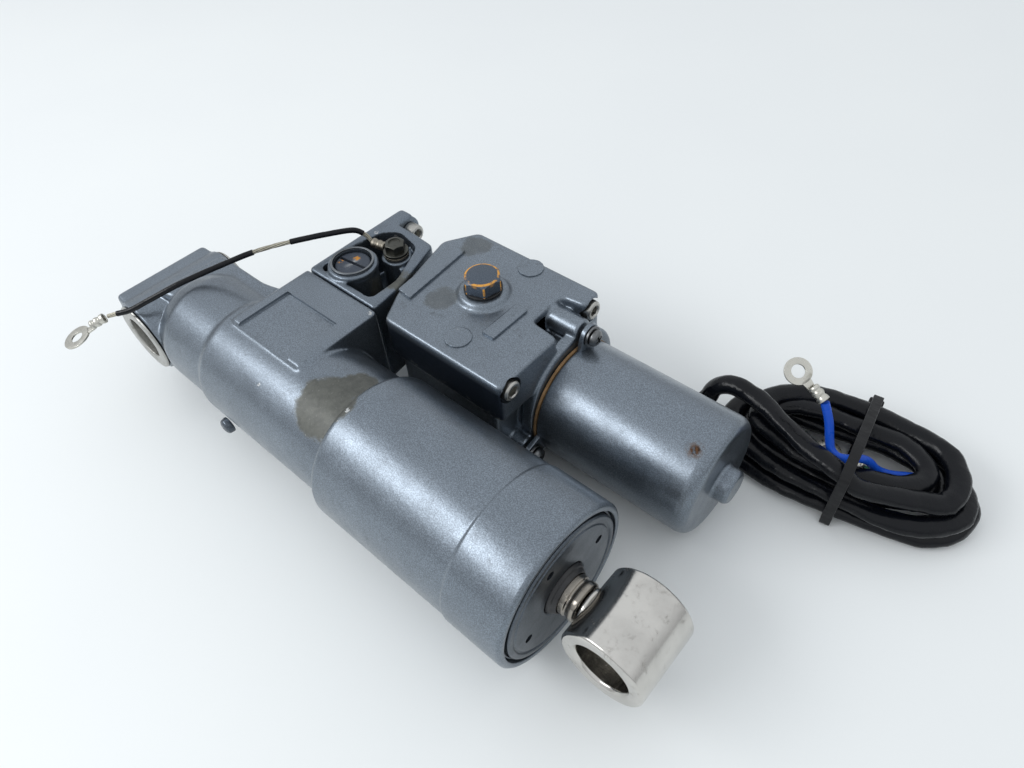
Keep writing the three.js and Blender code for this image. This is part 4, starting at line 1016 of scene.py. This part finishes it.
def build_pump():
    top = PUMP_TOP
    plan = [
        (-140.9, 39.7), (-67.6, 39.7), (-67.6, 80), (-84, 82), (-84, 103), (-71.1, 104.5),
        (-71.1, 116.7), (-150.5, 116.9), (-161.4, 99.5), (-150.3, 57),
    ]
    cover = slab("cover", plan, 50, top - 0.1, 3, 3.4, 5)
    lower = slab("lower", [(-141, 60), (-73, 60), (-73, 115), (-146, 115)], 28, 56, 3, 1)
    belly = slab("belly", oblong(-138.9, 43.1, -75.1, 66), 14.2, 54, 3, 2)
    drum = rod("drum", "x", -145.9, PUMP_FACE, 30.1, MOTOR_AXIS, 0.6, 160)
    flange = rod("flange", "x", -72, PUMP_FACE, 32.5, (0, 89, 33.2), 0.8, 128)
    boss = rod("boss", "x", -88.8, PUMP_FACE, 6.1, (0, *round_motor(SCREW_ANGLES[0], SCREW_CIRCLE)), 1.6, 64)
    hidden = [
        rod("low_boss", "x", -82, PUMP_FACE, 5.5, (0, *round_motor(angle, SCREW_CIRCLE - 1.2)), 0.6, 48)
        for angle in SCREW_ANGLES[1:]
    ]
    x, y, _ = PLUG
    rim = [(top - 0.6, 14.6), (top + 0.6, 13.3), (top + 2.2, 12.4), (top + 3.1, 11.2), (top + 3.1, 0)]
    plug_boss = turned("plug_boss", [(60, 0), (60, 14.6), *rim], 0.7, "z", (x, y, 0), 120)
    body = cast_body("pump_casting", [cover, lower, belly, drum, flange, boss, *hidden, plug_boss], 0.75, 4)
    long_bar = [(-150, 57.6), (-140.4, 56.5), (-144.4, 99.9), (-153.9, 99.9)]
    marks = [
        slab("bar", oblong(-97, 60.6, -89.6, 85), top - 2, top + 1.3, 0.8, 0.5, 3),
        slab("bar", long_bar, top - 2, top + 1.3, 0.8, 0.5, 3),
        rod("pad", "z", top - 3, top + 0.7, 6.6, (-103.6, 52, 0), 0.3, 72),
        rod("pad", "z", top - 3, top + 0.7, 6.6, (-109, 110, 0), 0.3, 72),
    ]
    trim = cast_body("pump_raised_marks", marks, 0.4, 2)
    drill(body, "x", -112, -60, 24.5, MOTOR_AXIS, 0.3, 96)
    boolean(body, slab("tank", [(-136, 66), (-78, 66), (-88, 108), (-138, 108)], 46, top - 4, 3, 0.5, 2))
    drill(body, "z", top - 12, top + 12, 5.4, (x, y, 0), 0.3, 48)
    for screw_x, screw_y, screw_z in PUMP_SCREWS.values():
        drill(body, "x", screw_x - 0.3, screw_x + 24, 6.5, (0, screw_y, screw_z), 0.01, 96)
        drill(body, "x", screw_x - 34, screw_x + 2, 3.3, (0, screw_y, screw_z), 0.01, 32)
    for angle in SCREW_ANGLES:
        drill(body, "x", -80, -60, 2.3, (0, *round_motor(angle, SCREW_CIRCLE)), 0.01, 24)
    show(body, "pump", ["pump_housing"], 40)
    show(trim, "pump", ["pump_housing"], 40)
    for node, at in PUMP_SCREWS.items():
        cap_screw(node, *at, 30)

    base = top + 3.5
    seal = ring("plug_seal_ring", "z", base, base + 0.95, 5.9, 9.5, (x, y, 0), 0.35)
    show(seal, "rubber", ["plug_seal"])
    base += 1.3
    head = bevelled(hexagon("plug_hex", base, base + 6.9, 17, (x, y, 0), 17, 1.7), 0.35, 3, 28)
    stem = rod("stem", "z", base - 9.9, base + 0.5, 4.95, (x, y, 0), 0.5, 48)
    plug = merge("fill_plug_hex", [head, stem])
    show(plug, "plug", ["fill_plug"])


# ---- motor ----
CAN_FACE = -63.9
EAR_THICK = 2.3


def motor_profile():
    end = MOTOR_END
    return [
        (-20, 27.8), (CAN_FACE, 27.8), (CAN_FACE, 29.5), (CAN_FACE + 0.7, 29.95),
        (end - 5.6, 29.95), (end - 3.4, 29.5), (end - 1.5, 28.2), (end - 0.4, 26.4),
        (end - 0.1, 24.6), (end - 0.1, 9.6), (end + 1.0, 8.6), (end + 6.0, 8.5), (end + 7.3, 7.4),
        (end + 7.5, 6.6), (end + 7.5, 0), (end + 5, 0), (end + 5, 4.4), (end - 2.2, 4.4),
        (end - 2.2, 27.8), (-20, 27.8),
    ]


def motor_ear(angle):
    """Screw lug on the rim of the motor can."""
    centre = (0, *round_motor(angle, SCREW_CIRCLE))
    back = CAN_FACE + EAR_THICK
    ear = rod("ear", "x", CAN_FACE, back, 5.9, centre, 0.4, 64)
    low = (CAN_FACE, MOTOR_Y + 29, MOTOR_Z - 5.9)
    high = (back, MOTOR_Y + SCREW_CIRCLE, MOTOR_Z + 5.9)
    boolean(ear, turn_about(block("arm", low, high, 0.3), MOTOR_AXIS, "X", angle), "UNION")
    return drill(ear, "x", CAN_FACE - 2, CAN_FACE + 5, 2.6, centre, 0.01, 32)


def motor_screw(number, angle):
    """Cross-head screw with its washer."""
    y, z = round_motor(angle, SCREW_CIRCLE)
    seat = CAN_FACE + 2.7
    node = "screw_washer_%d" % number
    washer = ring(node + "_ring", "x", seat + 0.02, seat + 1.15, 2.5, 5.3, (0, y, z), 0.25, 64)
    show(washer, "dull", [node])
    dome = [(seat + 2.6, 4.2), (seat + 3.6, 3.7), (seat + 4.4, 2.5), (seat + 4.7, 0)]
    head = turned("head", [(seat + 1.55, 0), (seat + 1.55, 4.2), *dome], 0.4, "x", (0, y, z), 64)
    for turn in (20, 110):
        cross = block("cross", (seat + 2.8, y - 2.4, z - 0.5), (seat + 8, y + 2.4, z + 0.5), 0.08)
        boolean(head, turn_about(cross, (0, y, z), "X", turn))
    shank = rod("shank", "x", seat - 10.9, seat + 1.8, 1.95, (0, y, z), 0.3, 24)
    node = "motor_screw_%d" % number
    show(merge(node + "_head", [head, shank]), "dull", [node])


def build_motor():
    can = turned("motor_drum", motor_profile(), 0.8, "x", MOTOR_AXIS, 192, 4)
    drill(can, "y", MOTOR_Y + 20, MOTOR_Y + 40, 5.6, (-52, 0, 24), 0.01, 48)
    show(can, "motor", ["motor_can"], 30)
    ears = merge("motor_ears", [motor_ear(angle) for angle in SCREW_ANGLES])
    show(ears, "motor", ["motor_can"])
    gasket = ring("motor_gasket_edge", "x", -65.4, -64.3, 25, 30.25, MOTOR_AXIS, 0.2, 160)
    show(gasket, "gasket", ["motor_gasket"])
    for i, angle in enumerate(SCREW_ANGLES):
        motor_screw(i + 1, angle)
    flare = [(27.7, 5.25), (30.35, 5.25), (30.35, 7.5), (31.4, 7.5), (33.1, 6.6), (33.1, 5)]
    profile = [(29, 5), (27.7, 5), *flare, (29, 5)]
    grommet = turned("cable_grommet_boot", profile, 0.3, "y", (-52, MOTOR_Y, 24), 64)
    show(grommet, "rubber", ["cable_grommet"])


# ---- cable tie ----
TIE_AT = (56, 148.9, 0)
TIE_TURN = 8
TIE_WIDTH = 4.7
TIE_THICK = 1.2
TIE_OUTLINE = [(-33.6, 0.2), (33.6, 0.2), (33.6, 27.2), (20, 31), (-12, 37.8), (-33.6, 37.8)]


def inset_loop(points, distance):
    """Each point of a closed outline that runs anticlockwise, moved inwards."""
    made = []
    for i, point in enumerate(points):
        along = (points[(i + 1) % len(points)] - points[i - 1]).normalized()
        made.append(point + Vector((-along.y, along.x)) * distance)
    return made


def build_tie():
    """Strap round the coil, its head and its cut tail, built across X and then turned into place."""
    outline = soft_loop(TIE_OUTLINE, 3.2, 6)
    half, thick, edge = TIE_WIDTH / 2, TIE_THICK, 0.25
    section = [
        (-half, edge), (-half + edge, 0.0), (half - edge, 0.0), (half, edge), (half, thick - edge),
        (half - edge, thick), (-half + edge, thick), (-half, thick - edge),
    ]
    bm = bmesh.new()
    loops = [[bm.verts.new(place(w, p.x, p.y)) for p in inset_loop(outline, inset)] for w, inset in section]
    for low, high in zip(loops, loops[1:] + loops[:1]):
        for i in range(len(outline)):
            k = (i + 1) % len(outline)
            bm.faces.new((low[i], low[k], high[k], high[i]))
    strap = from_bmesh("strap", bm)
    head = slab("head", oblong(-3.5, 32.5, 3.5, 36.7), 14.1, 20.9, 1.0, 0.6, 3)
    tail = slab("tail", oblong(-2.2, 34.0, 2.2, 35.1), 20.5, 23.5, 0.3, 0.2, 2)
    tie = put(merge("cable_tie_strap", [strap, head, tail]), TIE_AT, TIE_TURN)
    show(tie, "tie", ["cable_tie"])


add_motor_cable()
build_casting()
build_cap()
build_rod()
build_valve()
build_pump()
build_motor()
build_tie()
add_earth_lead()

# ---- inner parts that keep their CAD shape ----
INNER = {
    "machined": [
        "piston",
        "shuttle_piston",
        "drive_gear",
        "driven_gear",
        "gear_block",
        "armature_shaft",
    ],
    "dark_steel": ["rod_nut", "drive_coupling"],
    "bronze": ["free_piston", "brush_plate"],
    "copper": ["armature_core", "commutator"],
    "rubber": ["piston_ring", "cap_o_ring"],
    "ferrite": ["magnet_1", "magnet_2", "brush_1", "brush_2"],
}
for look, nodes in INNER.items():
    for node in nodes:
        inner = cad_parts[node]
        inner.data.materials.clear()
        inner.data.materials.append(M[look])

# ---- floor and light ----
FLOOR_HALF = 2.5
bm = bmesh.new()
bmesh.ops.create_grid(bm, x_segments=1, y_segments=1, size=FLOOR_HALF)
floor = from_bmesh("table", bm)
floor.data.materials.append(floor_material())


def light_room(low, high):
    """Pale surroundings whose strength grows from the horizon up to half height."""
    world = bpy.data.worlds.new("room")
    world.use_nodes = True
    sky = world.node_tree
    background = sky.nodes["Background"]
    background.inputs["Color"].default_value = (0.93, 0.965, 1.0, 1)
    direction = sky.nodes.new("ShaderNodeTexCoord")
    split = sky.nodes.new("ShaderNodeSeparateXYZ")
    level = sky.nodes.new("ShaderNodeMapRange")
    sky.links.new(direction.outputs["Generated"], split.inputs["Vector"])
    sky.links.new(split.outputs["Z"], level.inputs["Value"])
    level.inputs["From Min"].default_value = 0.0
    level.inputs["From Max"].default_value = 0.5
    level.inputs["To Min"].default_value = low
    level.inputs["To Max"].default_value = high
    sky.links.new(level.outputs["Result"], background.inputs["Strength"])
    bpy.context.scene.world = world


def area_light(name, at, aim, size, power, color):
    data = bpy.data.lights.new(name, "AREA")
    data.shape = "RECTANGLE"
    data.size, data.size_y = size
    data.energy = power
    data.color = color
    lamp = bpy.data.objects.new(name, data)
    lamp.location = at
    lamp.rotation_euler = (Vector(aim) - Vector(at)).to_track_quat("-Z", "Y").to_euler()
    bpy.context.scene.collection.objects.link(lamp)


light_room(0.50, 0.92)
area_light("window", (-0.55, -0.79, 0.87), (0, 0, 0.04), (1.0, 0.42), 6.4, (0.97, 0.985, 1.0))
bpy.context.scene.view_settings.view_transform = "Standard"
bpy.context.scene.view_settings.exposure = 0.0
